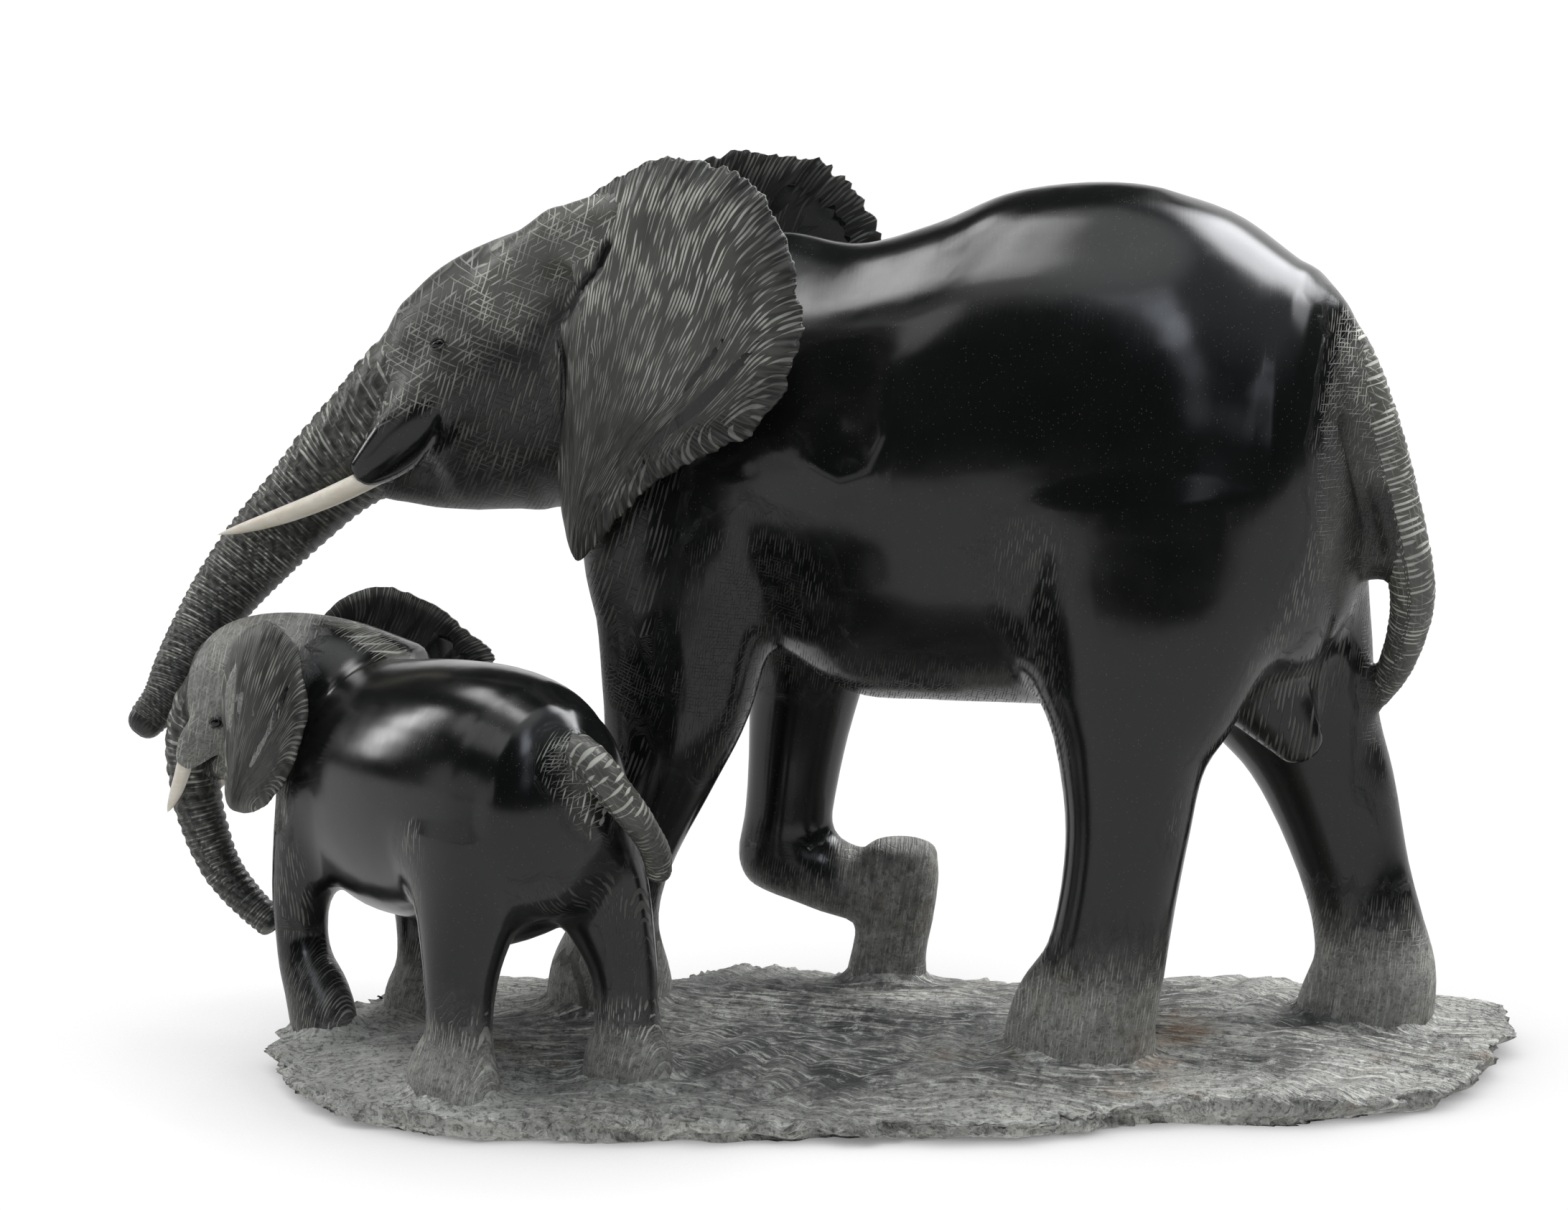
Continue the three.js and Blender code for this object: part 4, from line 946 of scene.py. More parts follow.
def eye(field, frame, place, size, tilt):
    """An eyeball in the surface between its lids; size is the ball's half length and half height."""
    at = frame.world(place)
    out = field.normals(at[None], 1.5)[0]
    at = at - out * field.sample(at[None])[0] * VOXEL
    along = np.cross([0, 0, 1.0], out)
    along /= np.linalg.norm(along)
    up = np.cross(out, along)
    along, up = math.cos(tilt) * along + math.sin(tilt) * up, math.cos(tilt) * up - math.sin(tilt) * along
    angles = 2 * np.pi * np.arange(14) / 14
    rings = []
    for i in range(1, 9):
        polar = math.pi * i / 9
        round_it = np.outer(np.cos(angles), up) + 0.8 * np.outer(np.sin(angles), out)
        rings.append(at + along * size[0] * math.cos(polar) + math.sin(polar) * size[1] * round_it)
    vertices, triangles = closed_skin(np.array(rings), at + along * size[0], at - along * size[0])
    # The ball is polished stone darkened with painted shade.
    zone = np.tile([0, 0, 0, 0.7], (len(vertices), 1))
    part(vertices, face_turn(vertices, triangles), zone, 0 * vertices)
    for start, stop, thick in ((0.05, 0.95, 0.42), (1.1, 1.9, 0.3)):
        rings = []
        for t in np.linspace(start, stop, 14):
            turn = math.pi * t
            radial = along * math.cos(turn) + up * math.sin(turn)
            middle = at + along * math.cos(turn) * size[0] * 1.15 + up * math.sin(turn) * size[1] * 1.25
            width = thick * size[1] * (0.3 + 0.7 * math.sin(math.pi * (t - start) / (stop - start)))
            lid = np.outer(np.cos(angles[::2]), radial) + np.outer(np.sin(angles[::2]), out)
            rings.append(middle + out * 0.35 * size[1] + width * lid)
        vertices, triangles = closed_skin(np.array(rings), rings[0].mean(0), rings[-1].mean(0))
        zone = np.tile([1, 0, 0.35, 0], (len(vertices), 1))
        part(vertices, face_turn(vertices, triangles), zone, vertices)


# The base

BASE_OUTLINE = [
    [-0.51, 0.03], [-0.5, -0.16], [-0.468, -0.33], [-0.4, -0.46], [-0.3, -0.515], [-0.11, -0.515],
    [0.095, -0.505], [0.195, -0.41], [0.31, -0.41], [0.425, -0.30], [0.47, -0.13], [0.505, 0.13],
    [0.48, 0.26], [0.34, 0.41], [0.24, 0.435], [0.115, 0.40], [-0.065, 0.48], [-0.13, 0.50],
    [-0.222, 0.42], [-0.333, 0.435], [-0.416, 0.335], [-0.46, 0.22],
]


def base_wave(x, y):
    return 0.5 * BASE_WAVE * (np.sin(x / 23 + np.sin(y / 31)) + np.sin(y / 17 + x / 71))


def base_marks(x, y):
    """Wavy chisel ridges that run along the base's top and lie over one another, 0 to 1."""
    bend = 11 * np.sin(x / 47 + 1.3) + 6 * np.sin(x / 19 + y / 29) + 5 * wobble2(x / 16, y / 11, 33)
    first = np.abs(np.sin((y * 0.95 + x * 0.15 + bend) / 5.6))
    second = np.abs(np.sin((x * 0.62 - y * 0.62 + 0.8 * bend) / 7.2))
    patch = smooth(wobble2(x / 34, y / 30, 31), -0.4, 0.4)
    hollow = smooth(wobble2(x / 52, y / 44, 37), 0.35, 0.9)
    return ((1 - first) * patch + (1 - second) * (1 - patch)) * (1 - 0.8 * hollow) + 0.8 * hollow


def foot_marks():
    feet = []
    for frame, legs in ((COW, [COW_LEGS[0], COW_LEGS[1], COW_LEGS[2], COW_LEGS[5]]), (CALF, CALF_LEGS)):
        for stations in legs:
            end = np.array(stations[-1])
            place = frame.world(end[:3])
            feet.append((place[0], place[1], end[3] * frame.height))
    return feet


def base_part():
    count = 760
    t = np.arange(count) / count
    rim = spline([[p[0] * BASE_LENGTH, p[1] * BASE_DEPTH] for p in BASE_OUTLINE], t, closed=True)
    length = np.cumsum(np.linalg.norm(np.roll(rim, -1, 0) - rim, axis=1))
    chip = 2.2 * wobble(length / 17, 5) + 3.4 * np.abs(wobble(length / 5.5, 6))
    chip = chip + 1.4 * np.abs(wobble(length / 2.2, 8))
    out = rim / np.linalg.norm(rim, axis=1, keepdims=True)
    feet = foot_marks()

    def top(x, y, share):
        z = BASE_THICKNESS - BASE_RIM_DROP * smooth(share, 0.5, 1) + base_wave(x, y)
        z = z - 3.3 * base_marks(x, y)
        for fx, fy, radius in feet:
            distance = np.hypot(x - fx, y - fy)
            skirt = np.exp(-np.clip(distance - radius * 0.92, 0, None) / 4.0)
            z = z + 7.5 * skirt * (distance > radius * 0.3)
        return z

    rings = []
    shares = np.concatenate([np.linspace(0.03, 0.93, 36), [0.95, 0.97, 0.985, 0.995]])
    for share in shares:
        place = rim * share - out * chip[:, None] * smooth(share, 0.85, 1.0)
        rings.append(np.column_stack([place, top(place[:, 0], place[:, 1], share)]))
    notch = 2.4 * np.abs(wobble(length / 6.5, 12)) + 1.5 * np.abs(wobble(length / 2.6, 13))
    for ring, share in zip(rings[-5:], (0.1, 0.3, 0.6, 0.9, 1.0)):
        ring[:, 2] -= notch * share
    rim_z = rings[-1][:, 2]
    levels = [0.93, 0.84, 0.70, 0.56, 0.42, 0.28, 0.14, 0.05, 0.0]
    for k, level in enumerate(levels):
        facet = 3.2 * wobble2(length / 9, np.full(count, k * 0.9), 9)
        facet = facet + 2.8 * np.abs(wobble2(length / 4.5, np.full(count, k * 1.7), 10))
        undercut = 2.0 * level - (1 - level) ** 2 * 11.0
        place = rim + out * (undercut - facet)[:, None] - out * chip[:, None]
        z = rim_z * level
        rings.append(np.column_stack([place, z]))
    rings = np.array(rings)
    middle = float(top(np.zeros(1), np.zeros(1), 0.0)[0])
    vertices, triangles = closed_skin(rings, np.array([0, 0, middle]), np.zeros(3))
    vertices[:, 2] = np.maximum(vertices[:, 2], 0)
    triangles = face_turn(vertices, triangles)
    vertices, triangles = fewer(vertices, triangles, BASE_TRIANGLES)
    x, y = vertices[:, 0], vertices[:, 1]
    bend = 9 * np.sin(x / 47 + 1.3) + 7 * np.sin(x / 19 + y / 29)
    zone = np.zeros((len(vertices), 4))
    zone[:, :2] = 1
    zone[:, 2] = smooth(np.hypot(x / BASE_LENGTH, y / BASE_DEPTH), 0.30, 0.46)
    zone[:, 2] *= 1 + 0.7 * smooth(-x / BASE_LENGTH, 0.2, 0.4)
    part(vertices, triangles, zone,
         np.stack([1.2 * y + 0.25 * x + bend, x - 0.3 * y, np.full(len(x), 1.35)], -1))


# Materials

class Nodes:
    def __init__(self, name):
        self.material = bpy.data.materials.new(name)
        self.material.use_nodes = True
        self.tree = self.material.node_tree
        self.tree.nodes.clear()
        self.out = self.tree.nodes.new("ShaderNodeOutputMaterial")

    def add(self, kind, inputs=None, **settings):
        node = self.tree.nodes.new(kind)
        for key, value in settings.items():
            setattr(node, key, value)
        for key, value in (inputs or {}).items():
            self.put(node.inputs[key], value)
        return node

    def put(self, socket, value):
        if isinstance(value, bpy.types.NodeSocket):
            self.tree.links.new(value, socket)
        elif isinstance(value, bpy.types.Node):
            self.tree.links.new(value.outputs[0], socket)
        else:
            socket.default_value = value

    def math(self, operation, a, b=0.0, clamp=False):
        node = self.add("ShaderNodeMath", operation=operation, use_clamp=clamp)
        self.put(node.inputs[0], a)
        self.put(node.inputs[1], b)
        return node.outputs[0]

    def mix(self, factor, a, b):
        node = self.add("ShaderNodeMix", data_type="RGBA", blend_type="MIX")
        self.put(node.inputs["Factor"], factor)
        self.put(node.inputs[6], a)
        self.put(node.inputs[7], b)
        return node.outputs[2]

    def lerp(self, factor, a, b):
        node = self.add("ShaderNodeMix", data_type="FLOAT")
        self.put(node.inputs["Factor"], factor)
        self.put(node.inputs[2], a)
        self.put(node.inputs[3], b)
        return node.outputs[0]

    def ramp(self, value, low, high):
        node = self.add("ShaderNodeMapRange", interpolation_type="SMOOTHSTEP")
        self.put(node.inputs["Value"], value)
        node.inputs["From Min"].default_value = low
        node.inputs["From Max"].default_value = high
        return node.outputs[0]

    def noise(self, vector, scale, detail=2.0, roughness=0.5):
        node = self.add("ShaderNodeTexNoise", {"Scale": scale, "Detail": detail, "Roughness": roughness})
        self.put(node.inputs["Vector"], vector)
        return node.outputs["Fac"]

    def stretched(self, vector, scale):
        node = self.add("ShaderNodeMapping", vector_type="POINT")
        self.put(node.inputs["Vector"], vector)
        node.inputs["Scale"].default_value = scale
        return node.outputs[0]


def stone_material():
    n = Nodes("stone")
    place = n.add("ShaderNodeTexCoord").outputs["Object"]
    zone = n.add("ShaderNodeAttribute", attribute_name="zone")
    split = n.add("ShaderNodeSeparateColor")
    n.put(split.inputs[0], zone.outputs["Color"])
    tooled_zone, ground, pale = split.outputs[0], split.outputs[1], split.outputs[2]
    # The zone's alpha is the painted shade of the creases and eyes.
    dark = zone.outputs["Alpha"]
    stroke = n.add("ShaderNodeAttribute", attribute_name="stroke").outputs["Vector"]

    # flecks in the polish
    cells = n.add("ShaderNodeTexVoronoi", {"Scale": 880.0}, feature="F1")
    n.put(cells.inputs["Vector"], place)
    chance = n.add("ShaderNodeSeparateColor")
    n.put(chance.inputs[0], cells.outputs["Color"])
    fleck = n.math("MULTIPLY", n.ramp(cells.outputs["Distance"], 0.34, 0.12),
                   n.ramp(chance.outputs[0], 0.78, 0.98))
    cloud = n.noise(place, 14.0, 4.0, 0.6)
    black = n.mix(cloud, (0.0035, 0.004, 0.0042, 1), (0.009, 0.0095, 0.009, 1))
    polished = n.mix(n.math("MULTIPLY", fleck, 0.4), black, (0.16, 0.155, 0.12, 1))

    parts = n.add("ShaderNodeSeparateXYZ")
    n.put(parts.inputs[0], stroke)
    across, along, kind = parts.outputs
    drift = n.math("SUBTRACT", n.noise(n.stretched(stroke, (0.022, 0.022, 0.0)), 1.0, 2.0, 0.5), 0.5)

    def strokes(over, run, pitch, length, thin, seed):
        """Separate tapering cuts that run beside one another."""
        at = n.math("ADD", n.math("MULTIPLY", over, 1 / pitch), n.math("MULTIPLY", drift, 3.4 / pitch))
        chance = n.add("ShaderNodeTexWhiteNoise", noise_dimensions="1D")
        n.put(chance.inputs["W"], n.math("ADD", n.math("FLOOR", at), seed * 17.3))
        shifted = n.math("ADD", n.math("MULTIPLY", run, 1 / length),
                         n.math("MULTIPLY", chance.outputs["Value"], 91.7))
        presence = n.add("ShaderNodeTexNoise", {"Scale": 1.0, "Detail": 1.0}, noise_dimensions="1D")
        n.put(presence.inputs["W"], shifted)
        width = n.math("MULTIPLY", n.ramp(presence.outputs["Fac"], 0.36, 0.62), thin)
        saw = n.math("ABSOLUTE", n.math("SUBTRACT", n.math("FRACT", at), 0.5))
        return n.ramp(n.math("SUBTRACT", width, saw), 0.0, 0.14)

    cross = n.math("SUBTRACT", kind, 1.0, clamp=True)
    wide = n.math("MULTIPLY", n.ramp(kind, 0.45, 0.6), n.math("LESS_THAN", kind, 0.99))
    net = n.lerp(cross, 0.36, 0.20)
    first = n.lerp(wide, strokes(across, along, 2.5, 20.0, net, 1),
                   strokes(across, along, 1.3, 22.0, 0.38, 2))
    second = n.math("MULTIPLY", strokes(along, across, 3.1, 26.0, 0.17, 3), cross)
    tilted = n.math("ADD", n.math("MULTIPLY", across, 0.8), n.math("MULTIPLY", along, 0.6))
    third = n.math("MULTIPLY", strokes(tilted, along, 3.1, 10.0, 0.2, 4), n.math("MULTIPLY", cross, 0.8))
    hatch = n.math("MAXIMUM", first, n.math("MAXIMUM", second, third))
    patches = n.ramp(n.noise(place, 30.0, 3.0, 0.6), 0.34, 0.66)
    scratch = n.math("MULTIPLY", hatch, n.lerp(patches, 0.4, 1.0))
    ragged = n.math("ADD", tooled_zone, n.math("MULTIPLY", n.math("SUBTRACT", hatch, 0.55), 0.7))
    tooled = n.ramp(ragged, 0.30, 0.62)
    tone = n.math("MULTIPLY", pale, n.lerp(patches, 0.75, 1.15))
    dull = n.mix(tone, (0.0075, 0.008, 0.0075, 1), (0.095, 0.096, 0.084, 1))
    cut = n.mix(tone, (0.045, 0.046, 0.041, 1), (0.60, 0.60, 0.54, 1))
    tool_colour = n.mix(scratch, dull, cut)

    # the rough base: grey, with ochre and brown stains
    grain = n.noise(place, 330.0, 3.0, 0.7)
    broad = n.noise(place, 19.0, 5.0, 0.65)
    chisel = n.noise(n.stretched(stroke, (0.24, 0.026, 0.0)), 1.0, 4.0, 0.65)
    chips = n.add("ShaderNodeTexVoronoi", {"Scale": 1.0}, feature="F1")
    n.put(chips.inputs["Vector"], n.stretched(stroke, (0.34, 0.11, 0.0)))
    tint = n.add("ShaderNodeSeparateColor")
    n.put(tint.inputs[0], chips.outputs["Color"])
    mottle = n.noise(place, 150.0, 5.0, 0.75)
    base_grey = n.mix(n.ramp(broad, 0.36, 0.64), (0.055, 0.057, 0.055, 1), (0.44, 0.44, 0.41, 1))
    base_grey = n.mix(n.math("MULTIPLY", tint.outputs[0], 0.35), base_grey, (0.05, 0.053, 0.052, 1))
    base_grey = n.mix(n.ramp(chisel, 0.52, 0.64), base_grey, (0.66, 0.66, 0.61, 1))
    base_grey = n.mix(n.math("MULTIPLY", n.ramp(chisel, 0.46, 0.36), 0.75), base_grey,
                      (0.035, 0.037, 0.035, 1))
    base_grey = n.mix(n.math("MULTIPLY", pale, 0.42), base_grey, (0.62, 0.62, 0.58, 1))
    base_grey = n.mix(n.math("MULTIPLY", n.ramp(mottle, 0.53, 0.66), 0.55), base_grey,
                      (0.80, 0.80, 0.76, 1))
    base_grey = n.mix(n.math("MULTIPLY", n.ramp(mottle, 0.47, 0.36), 0.55), base_grey,
                      (0.03, 0.031, 0.03, 1))
    base_grey = n.mix(n.math("MULTIPLY", n.ramp(grain, 0.50, 0.36), 0.6), base_grey, (0.04, 0.042, 0.04, 1))
    stain = n.ramp(n.noise(place, 11.0, 5.0, 0.65), 0.58, 0.74)
    base_colour = n.mix(n.math("MULTIPLY", stain, 0.5), base_grey, (0.30, 0.18, 0.09, 1))

    colour = n.mix(tooled, polished, tool_colour)
    colour = n.mix(ground, colour, base_colour)
    # Painted shade: the creases and the eyeballs are darkened to near black.
    colour = n.mix(dark, colour, (0.002, 0.002, 0.002, 1))

    smear = n.noise(place, 60.0, 3.0, 0.6)
    shine = n.lerp(smear, 0.12, 0.24)
    rough = n.lerp(tooled, shine, n.lerp(scratch, 0.36, 0.55))
    rough = n.lerp(ground, rough, 0.66)

    shader = n.add("ShaderNodeBsdfPrincipled")
    n.put(shader.inputs["Base Color"], colour)
    n.put(shader.inputs["Roughness"], rough)
    shader.inputs["IOR"].default_value = 1.55

    fine = n.add("ShaderNodeBump", {"Strength": 1.0, "Distance": 0.0007})
    relief = n.math("MULTIPLY", n.math("MULTIPLY", scratch, tooled), -1.0)
    rasp = n.math("ADD", n.math("MULTIPLY", mottle, 2.0), n.math("MULTIPLY", chisel, 5.5))
    rasp = n.math("ADD", rasp, n.math("MULTIPLY", tint.outputs[1], 0.8))
    relief = n.math("ADD", relief, n.math("MULTIPLY", rasp, ground))
    n.put(fine.inputs["Height"], relief)
    sway = n.add("ShaderNodeBump", {"Strength": 0.35, "Distance": 0.0015})
    n.put(sway.inputs["Height"], n.noise(place, 17.0, 2.0, 0.5))
    n.put(fine.inputs["Normal"], sway.outputs[0])
    n.put(shader.inputs["Normal"], fine.outputs[0])
    n.put(n.out.inputs["Surface"], shader.outputs[0])
    return n.material


def ivory_material():
    n = Nodes("ivory")
    place = n.add("ShaderNodeTexCoord").outputs["Object"]
    streak = n.noise(n.stretched(place, (40.0, 400.0, 300.0)), 1.0, 4.0, 0.6)
    spots = n.ramp(n.noise(place, 160.0, 3.0, 0.6), 0.62, 0.74)
    colour = n.mix(n.ramp(streak, 0.35, 0.7), (0.80, 0.73, 0.60, 1), (0.90, 0.85, 0.75, 1))
    colour = n.mix(n.math("MULTIPLY", spots, 0.35), colour, (0.45, 0.32, 0.18, 1))
    shader = n.add("ShaderNodeBsdfPrincipled")
    n.put(shader.inputs["Base Color"], colour)
    shader.inputs["Roughness"].default_value = 0.32
    shader.inputs["Subsurface Weight"].default_value = 0.12
    shader.inputs["Subsurface Scale"].default_value = 0.004
    n.put(n.out.inputs["Surface"], shader.outputs[0])
    return n.material


# Meshes

def make_mesh(name, parts, material):
    first = 0
    vertices, triangles, zones, strokes, normals = [], [], [], [], []
    for points, faces, zone, stroke, normal in parts:
        vertices.append(points)
        triangles.append(faces + first)
        zones.append(zone)
        strokes.append(stroke)
        normals.append(vertex_normals(points, faces) if normal is None else normal)
        first += len(points)
    vertices = np.vstack(vertices) * MM
    triangles = np.vstack(triangles)
    mesh = bpy.data.meshes.new(name)
    mesh.from_pydata(vertices.tolist(), [], triangles.tolist())
    colours = mesh.attributes.new("zone", "FLOAT_COLOR", "POINT")
    colours.data.foreach_set("color", np.vstack(zones).astype(np.float32).ravel())
    along = mesh.attributes.new("stroke", "FLOAT_VECTOR", "POINT")
    along.data.foreach_set("vector", np.vstack(strokes).astype(np.float32).ravel())
    mesh.shade_smooth()
    mesh.normals_split_custom_set_from_vertices(np.vstack(normals).tolist())
    mesh.materials.append(material)
    thing = bpy.data.objects.new(name, mesh)
    bpy.context.scene.collection.objects.link(thing)
    return thing


def tusk_part(frame, exit_at, towards, length, diameter, socket):
    start = frame.world(exit_at)
    direction = frame.world(towards) - start
    direction /= np.linalg.norm(direction)
    side = np.cross([0, 0, 1.0], direction)
    side /= np.linalg.norm(side)
    up = np.cross(direction, side)
    origin = start - direction * socket
    sides, count = 28, 36
    angles = 2 * np.pi * np.arange(sides) / sides
    rings = []
    for i in range(count + 1):
        u = i / count
        uneven = 1.03 + 0.012 * math.sin(9 * u) + 0.008 * math.sin(23 * u)
        taper = max(1 - u ** 3.4, 0.004) ** 0.75 * uneven
        radius = 0.5 * diameter * taper
        bend = (length / 7.5) * (u * u - u)
        middle = origin + direction * u * length + up * bend
        rings.append(middle + radius * (np.outer(np.cos(angles), side) + np.outer(np.sin(angles), up)))
    end = origin + direction * (length + 0.05 * diameter)
    vertices, triangles = closed_skin(np.array(rings), origin, end)
    triangles = face_turn(vertices, triangles)
    return vertices, triangles, np.zeros((len(vertices), 4)), vertices, None


# Build

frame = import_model()

stone = stone_material()
ivory = ivory_material()

field = build_field()
points, quads = field.surface()
points, triangles = fewer(points, quads, BLOCK_TRIANGLES)
zone, stroke = block_zones(points)
part(points, triangles, zone, stroke, field.normals(points, 1.2))

trunk(COW_HEAD, COW_TRUNK, 96, 50, 3, 0.10, 0.02, 18, 0.6, 0.095, 11, fade=0.16)
trunk(CALF_HEAD, CALF_TRUNK, 56, 24, 4, 0.08, 0.02, 12, 0.3, 0.13, 17)
tail(COW, COW_TAIL, 32, 50, 3, 0.02, 21, 0.09, (0.55, 0.8))
tail(CALF, CALF_TAIL, 26, 20, 3, 0.02, 23, 0.1, (0.6, 0.1))
ear_part(COW_HEAD, COW_EAR, COW_EAR_HUB, COW_EAR_ROOT, cow_lateral, 9, 1, 320, (32, 7), 84, 2.3, 0.02, 41,
         (0.3, 0.75, 0.32))
ear_part(COW_HEAD, [[p[0], p[1] - FAR_EAR_DROP] for p in COW_EAR], COW_EAR_HUB, COW_EAR_ROOT, cow_lateral,
         9, -1, 260,
         (7, 16), 62, 2.4, 0.03, 47, (0.1, 0.12, 0.3))
ear_part(CALF_HEAD, CALF_NEAR_EAR, [0.09, 0.78], [0.2, 0.48], calf_near_lateral, 6, 1, 170, (16, 6), 38,
         1.7, 0.02, 53,
         (0.25, 0.35, 0.6))
ear_part(CALF_HEAD, CALF_FAR_EAR, [0.02, 0.78], [0.15, 0.5], calf_far_lateral, 6, -1, 170, (6, 12), 44, 1.4,
         0.03, 59,
         (0.05, 0.05, 0.6))
for side in (1, -1):
    eye(field, COW_HEAD, [0.283, side * 0.102, 0.796], (4.2, 2.5), 0.35 * side)
    eye(field, CALF_HEAD, [0.255, side * 0.163, 0.728], (3.2, 2.2), 0.35 * side)
base_part()

group = make_mesh("carved_group", PARTS, stone)
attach(group, "root")
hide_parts("elephant_group")

TUSKS = {
    "cow_tusk_left": (COW_HEAD, [0.387, 0.085, 0.632], [0.577, 0.09, 0.553], 107, 10.8, 20),
    "cow_tusk_right": (COW_HEAD, [0.387, -0.085, 0.632], [0.577, -0.09, 0.553], 107, 10.8, 20),
    "calf_tusk_left": (CALF_HEAD, [0.366, 0.14, 0.614], [0.41, 0.142, 0.49], 38, 8, 9),
    "calf_tusk_right": (CALF_HEAD, [0.366, -0.14, 0.614], [0.41, -0.142, 0.49], 38, 8, 9),
}
for node, values in TUSKS.items():
    tusk = make_mesh(node + "_ivory", [tusk_part(*values)], ivory)
    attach(tusk, "root")
    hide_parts(node)


# Stage, lights and camera

def floor():
    """A pale floor that glows rather than being lit by the lamps. To the eye it is white with a painted
    contact shadow from ambient occlusion; for bounced light and in the polish its grey glow is a painted
    stand-in for the lit table. The studio is white around it, and the table ends a little before the camera,
    where the polish sees it dark.
    """
    n = Nodes("floor")
    path = n.add("ShaderNodeLightPath")
    where = n.add("ShaderNodeSeparateXYZ")
    spot = n.add("ShaderNodeNewGeometry").outputs["Position"]
    n.put(where.inputs[0], spot)
    edge = n.math("ADD", where.outputs[1], n.math("MULTIPLY", n.noise(spot, 2.2, 2.0, 0.5), 0.5))
    beyond = n.ramp(edge, -1.45, -1.65)
    # Painted contact shadow: ambient occlusion darkens the white that the camera sees.
    nearby = n.add("ShaderNodeAmbientOcclusion", {"Distance": 0.16}, samples=6)
    shade = n.math("POWER", nearby.outputs["AO"], 0.8)
    white = n.mix(shade, (0.16, 0.16, 0.16, 1), (1.03, 1.03, 1.03, 1))
    seen = n.add("ShaderNodeEmission", {"Color": white})
    # A painted glow that stands in for the lit table in bounced light and in the polish.
    painted_floor_glow = n.add("ShaderNodeEmission", {"Color": (0.66, 0.66, 0.66, 1)})
    dark = n.add("ShaderNodeEmission", {"Color": (0.004, 0.004, 0.004, 1)})
    bounced = n.add("ShaderNodeMixShader")
    n.put(bounced.inputs[0], n.math("MULTIPLY", beyond, path.outputs["Is Glossy Ray"]))
    n.put(bounced.inputs[1], painted_floor_glow.outputs[0])
    n.put(bounced.inputs[2], dark.outputs[0])
    both = n.add("ShaderNodeMixShader")
    n.put(both.inputs[0], path.outputs["Is Camera Ray"])
    n.put(both.inputs[1], bounced.outputs[0])
    n.put(both.inputs[2], seen.outputs[0])
    n.put(n.out.inputs["Surface"], both.outputs[0])
    mesh = bpy.data.meshes.new("floor")
    mesh.from_pydata([(-9, -6, 0), (9, -6, 0), (9, 9, 0), (-9, 9, 0)], [], [(0, 1, 2, 3)])
    mesh.materials.append(n.material)
    thing = bpy.data.objects.new("floor", mesh)
    bpy.context.scene.collection.objects.link(thing)


# Soft lamps as the polish mirrors them: turn from the camera to the right and rise in degrees,
# inner and outer radius in degrees, strength and tint
GLOWS = [
    (-143, 43, 1, 8, 4.2, (1, 1, 1)),
    (-135, 51, 1, 8, 3.6, (1, 1, 1)),
    (-126, 59, 1, 8, 3.4, (1, 1, 1)),
    (-115, 66, 1, 10, 3.0, (1, 1, 1)),
    (-90, 74, 4, 30, 0.8, (1, 1, 1)),
    (-82, 41, 8, 13, 1.2, (1, 1, 1)),
    (-22, 61, 1, 10, 1.4, (0.84, 0.89, 1)),
    (-12, 53, 1, 9, 2.2, (0.84, 0.89, 1)),
    (-3, 44, 1, 10, 3.2, (0.84, 0.89, 1)),
    (6, 30, 1, 9, 1.0, (0.84, 0.89, 1)),
    (6, 16, 1, 9, 0.6, (0.84, 0.89, 1)),
    (50, 72, 5, 50, 0.4, (0.9, 0.94, 1)),
    (-88, 3, 8, 15, 0.6, (1, 1, 1)),
    (-66, 4, 8, 13, 0.6, (1, 1, 1)),
    (132, 50, 7, 26, 9.0, (0.96, 0.97, 1)),
    (97, 46, 3, 17, 3.0, (0.96, 0.97, 1)),
    (-105, 38, 3, 11, 1.2, (1, 1, 1)),
    (-124, 28, 1, 5, 6.0, (1, 1, 1)),
    (-122, 22, 1, 5, 9.0, (1, 1, 1)),
    (-120, 15, 1, 5, 9.0, (1, 1, 1)),
    (-119, 9, 1, 5, 6.0, (1, 1, 1)),
]


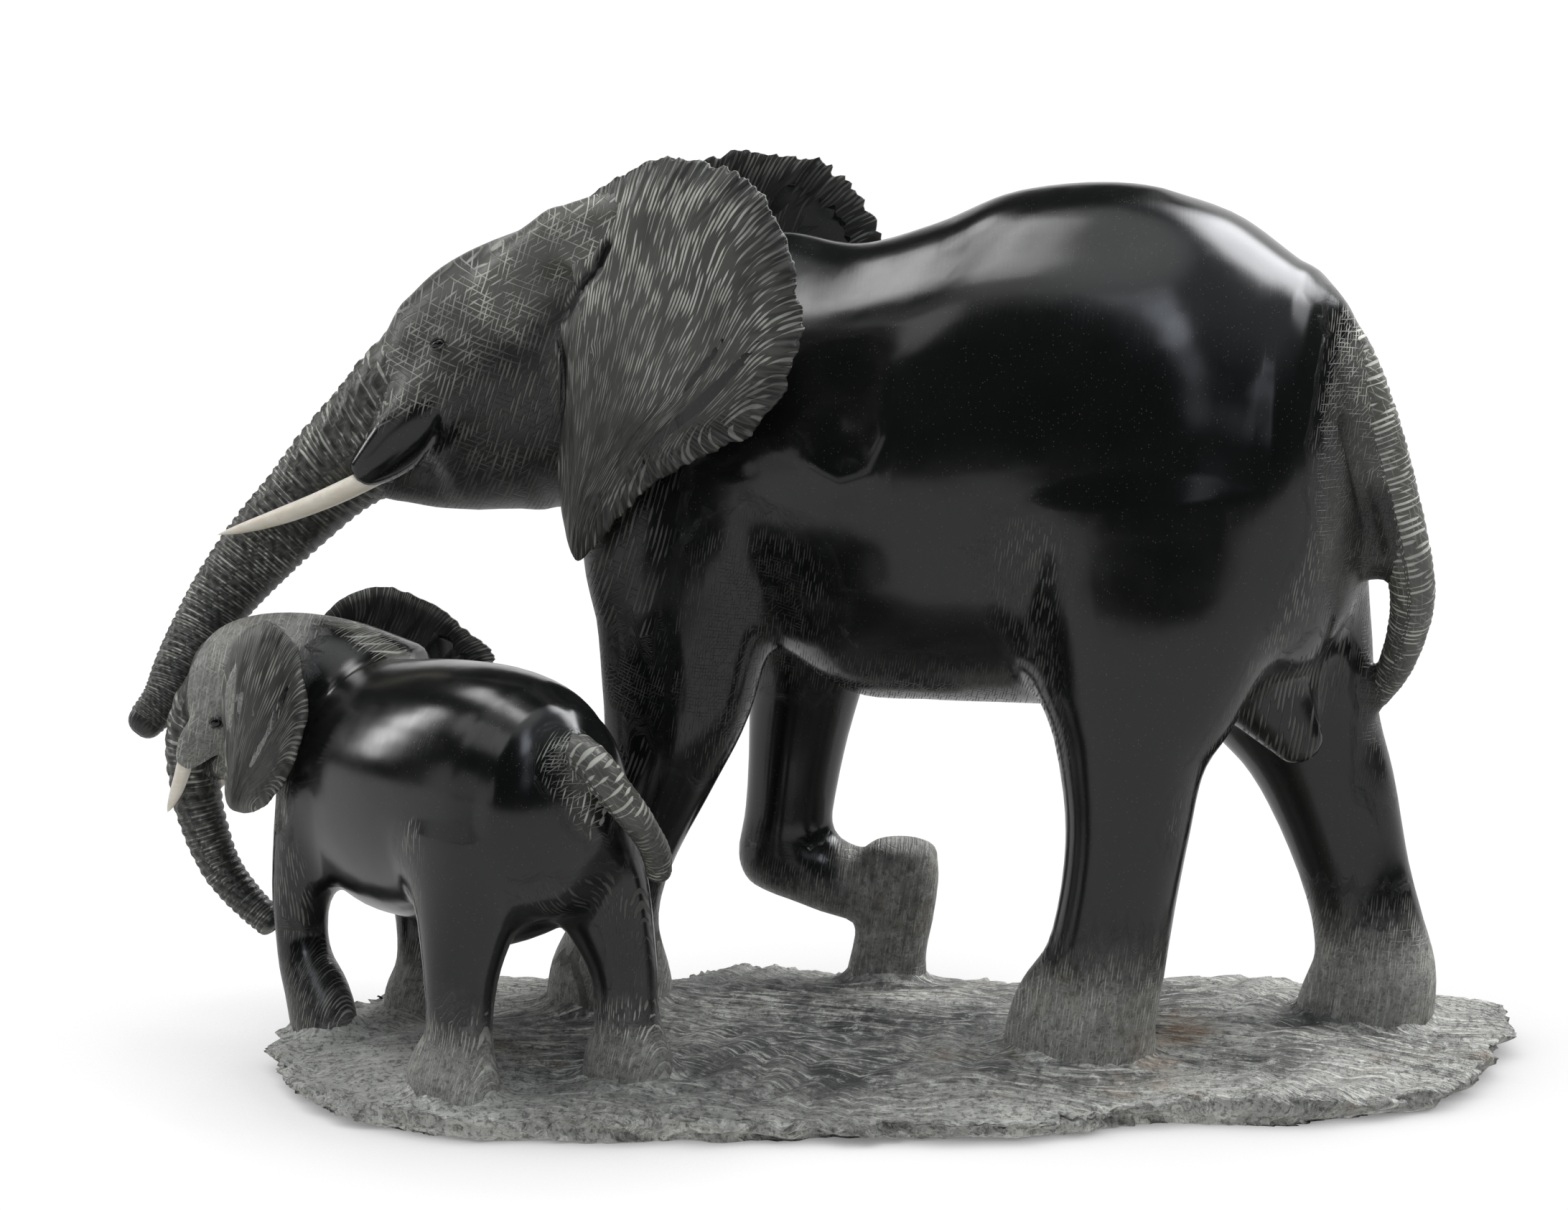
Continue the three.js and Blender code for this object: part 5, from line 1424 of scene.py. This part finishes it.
def world_light():
    """White to the eye; what the polish mirrors is a dark room with a white backdrop behind the work."""
    world = bpy.data.worlds.new("studio")
    bpy.context.scene.world = world
    world.use_nodes = True
    tree = world.node_tree
    tree.nodes.clear()

    def node(kind, **settings):
        made = tree.nodes.new(kind)
        for key, value in settings.items():
            setattr(made, key, value)
        return made

    out = node("ShaderNodeOutputWorld")
    path = node("ShaderNodeLightPath")
    place = node("ShaderNodeTexCoord")
    axes = node("ShaderNodeSeparateXYZ")
    tree.links.new(place.outputs["Generated"], axes.inputs[0])
    back = node("ShaderNodeMapRange", interpolation_type="SMOOTHSTEP")
    back.inputs["From Min"].default_value = 0.45
    back.inputs["From Max"].default_value = 0.8
    back.inputs["To Min"].default_value = 0.006
    back.inputs["To Max"].default_value = 1.0
    tree.links.new(axes.outputs[1], back.inputs["Value"])
    slope = node("ShaderNodeMath", operation="MULTIPLY_ADD")
    slope.inputs[1].default_value = -1.5
    tree.links.new(axes.outputs[2], slope.inputs[0])
    tree.links.new(axes.outputs[0], slope.inputs[2])
    low = node("ShaderNodeMapRange", interpolation_type="SMOOTHSTEP")
    low.inputs["From Min"].default_value = -0.8
    low.inputs["From Max"].default_value = -0.4
    low.inputs["To Min"].default_value = 0.01
    tree.links.new(slope.outputs[0], low.inputs["Value"])
    glow = node("ShaderNodeMath", operation="MULTIPLY")
    tree.links.new(back.outputs[0], glow.inputs[0])
    tree.links.new(low.outputs[0], glow.inputs[1])
    total = node("ShaderNodeVectorMath", operation="SCALE")
    total.inputs[0].default_value = (1, 1, 1)
    tree.links.new(glow.outputs[0], total.inputs["Scale"])
    for azimuth, rise, inner, outer, strength, tint in GLOWS:
        a, e = math.radians(azimuth), math.radians(rise)
        near = node("ShaderNodeVectorMath", operation="DOT_PRODUCT")
        near.inputs[1].default_value = (math.cos(e) * math.sin(a), -math.cos(e) * math.cos(a), math.sin(e))
        tree.links.new(place.outputs["Generated"], near.inputs[0])
        edge = node("ShaderNodeMapRange", interpolation_type="SMOOTHSTEP")
        edge.inputs["From Min"].default_value = math.cos(math.radians(outer))
        edge.inputs["From Max"].default_value = math.cos(math.radians(inner))
        edge.inputs["To Max"].default_value = strength
        tree.links.new(near.outputs["Value"], edge.inputs["Value"])
        spot = node("ShaderNodeVectorMath", operation="SCALE")
        spot.inputs[0].default_value = tint
        tree.links.new(edge.outputs[0], spot.inputs["Scale"])
        both = node("ShaderNodeVectorMath", operation="ADD")
        tree.links.new(total.outputs[0], both.inputs[0])
        tree.links.new(spot.outputs[0], both.inputs[1])
        total = both
    mirror = node("ShaderNodeBackground")
    tree.links.new(total.outputs[0], mirror.inputs["Color"])
    white = node("ShaderNodeBackground")
    white.inputs["Color"].default_value = (1, 1, 1, 1)
    white.inputs["Strength"].default_value = 1.05
    fill = node("ShaderNodeBackground")
    fill.inputs["Color"].default_value = (0.95, 0.98, 1, 1)
    fill.inputs["Strength"].default_value = 0.42
    first = node("ShaderNodeMixShader")
    tree.links.new(path.outputs["Is Glossy Ray"], first.inputs[0])
    tree.links.new(fill.outputs[0], first.inputs[1])
    tree.links.new(mirror.outputs[0], first.inputs[2])
    mix = node("ShaderNodeMixShader")
    tree.links.new(path.outputs["Is Camera Ray"], mix.inputs[0])
    tree.links.new(first.outputs[0], mix.inputs[1])
    tree.links.new(white.outputs[0], mix.inputs[2])
    tree.links.new(mix.outputs[0], out.inputs["Surface"])


def softbox(name, place, target, width, height, glow, colour=(1, 1, 1)):
    """A soft rectangle of light; glow is its radiance."""
    data = bpy.data.lights.new(name, "AREA")
    data.shape = "RECTANGLE"
    data.size = width
    data.size_y = height
    data.energy = glow * math.pi * width * height
    data.color = colour
    lamp = bpy.data.objects.new(name, data)
    lamp.location = place
    lamp.rotation_euler = (Vector(target) - Vector(place)).to_track_quat("-Z", "Y").to_euler()
    lamp.visible_glossy = False
    bpy.context.scene.collection.objects.link(lamp)


floor()
world_light()
softbox("overhead", (-0.93, 0.28, 2.15), (0.0, 0.0, 0.3), 0.8, 0.8, 7)
softbox("right_back", (1.36, 0.67, 1.9), (0.2, 0.0, 0.3), 1.5, 1.4, 9)
softbox("front_patch", (0.0, -1.42, 1.78), (0.1, -0.05, 0.3), 0.75, 0.7, 4.5, (0.88, 0.93, 1))
softbox("far_left", (-1.79, 1.03, 0.94), (-0.2, -0.04, 0.2), 0.4, 0.5, 9)
bpy.context.scene.view_settings.view_transform = "Standard"

eye_rise = math.radians(10)
distance = 2.4
aim = Vector((-0.061, 0.0195, 0.236))
camera_data = bpy.data.cameras.new("camera")
camera_data.sensor_width = SENSOR_WIDTH
camera_data.lens = FOCAL_PIXELS * SENSOR_WIDTH / IMAGE_WIDTH
camera = bpy.data.objects.new("camera", camera_data)
camera.location = aim + Vector((0, -math.cos(eye_rise), math.sin(eye_rise))) * distance
camera.rotation_euler = (aim - camera.location).to_track_quat("-Z", "Y").to_euler()
bpy.context.scene.collection.objects.link(camera)
bpy.context.scene.camera = camera
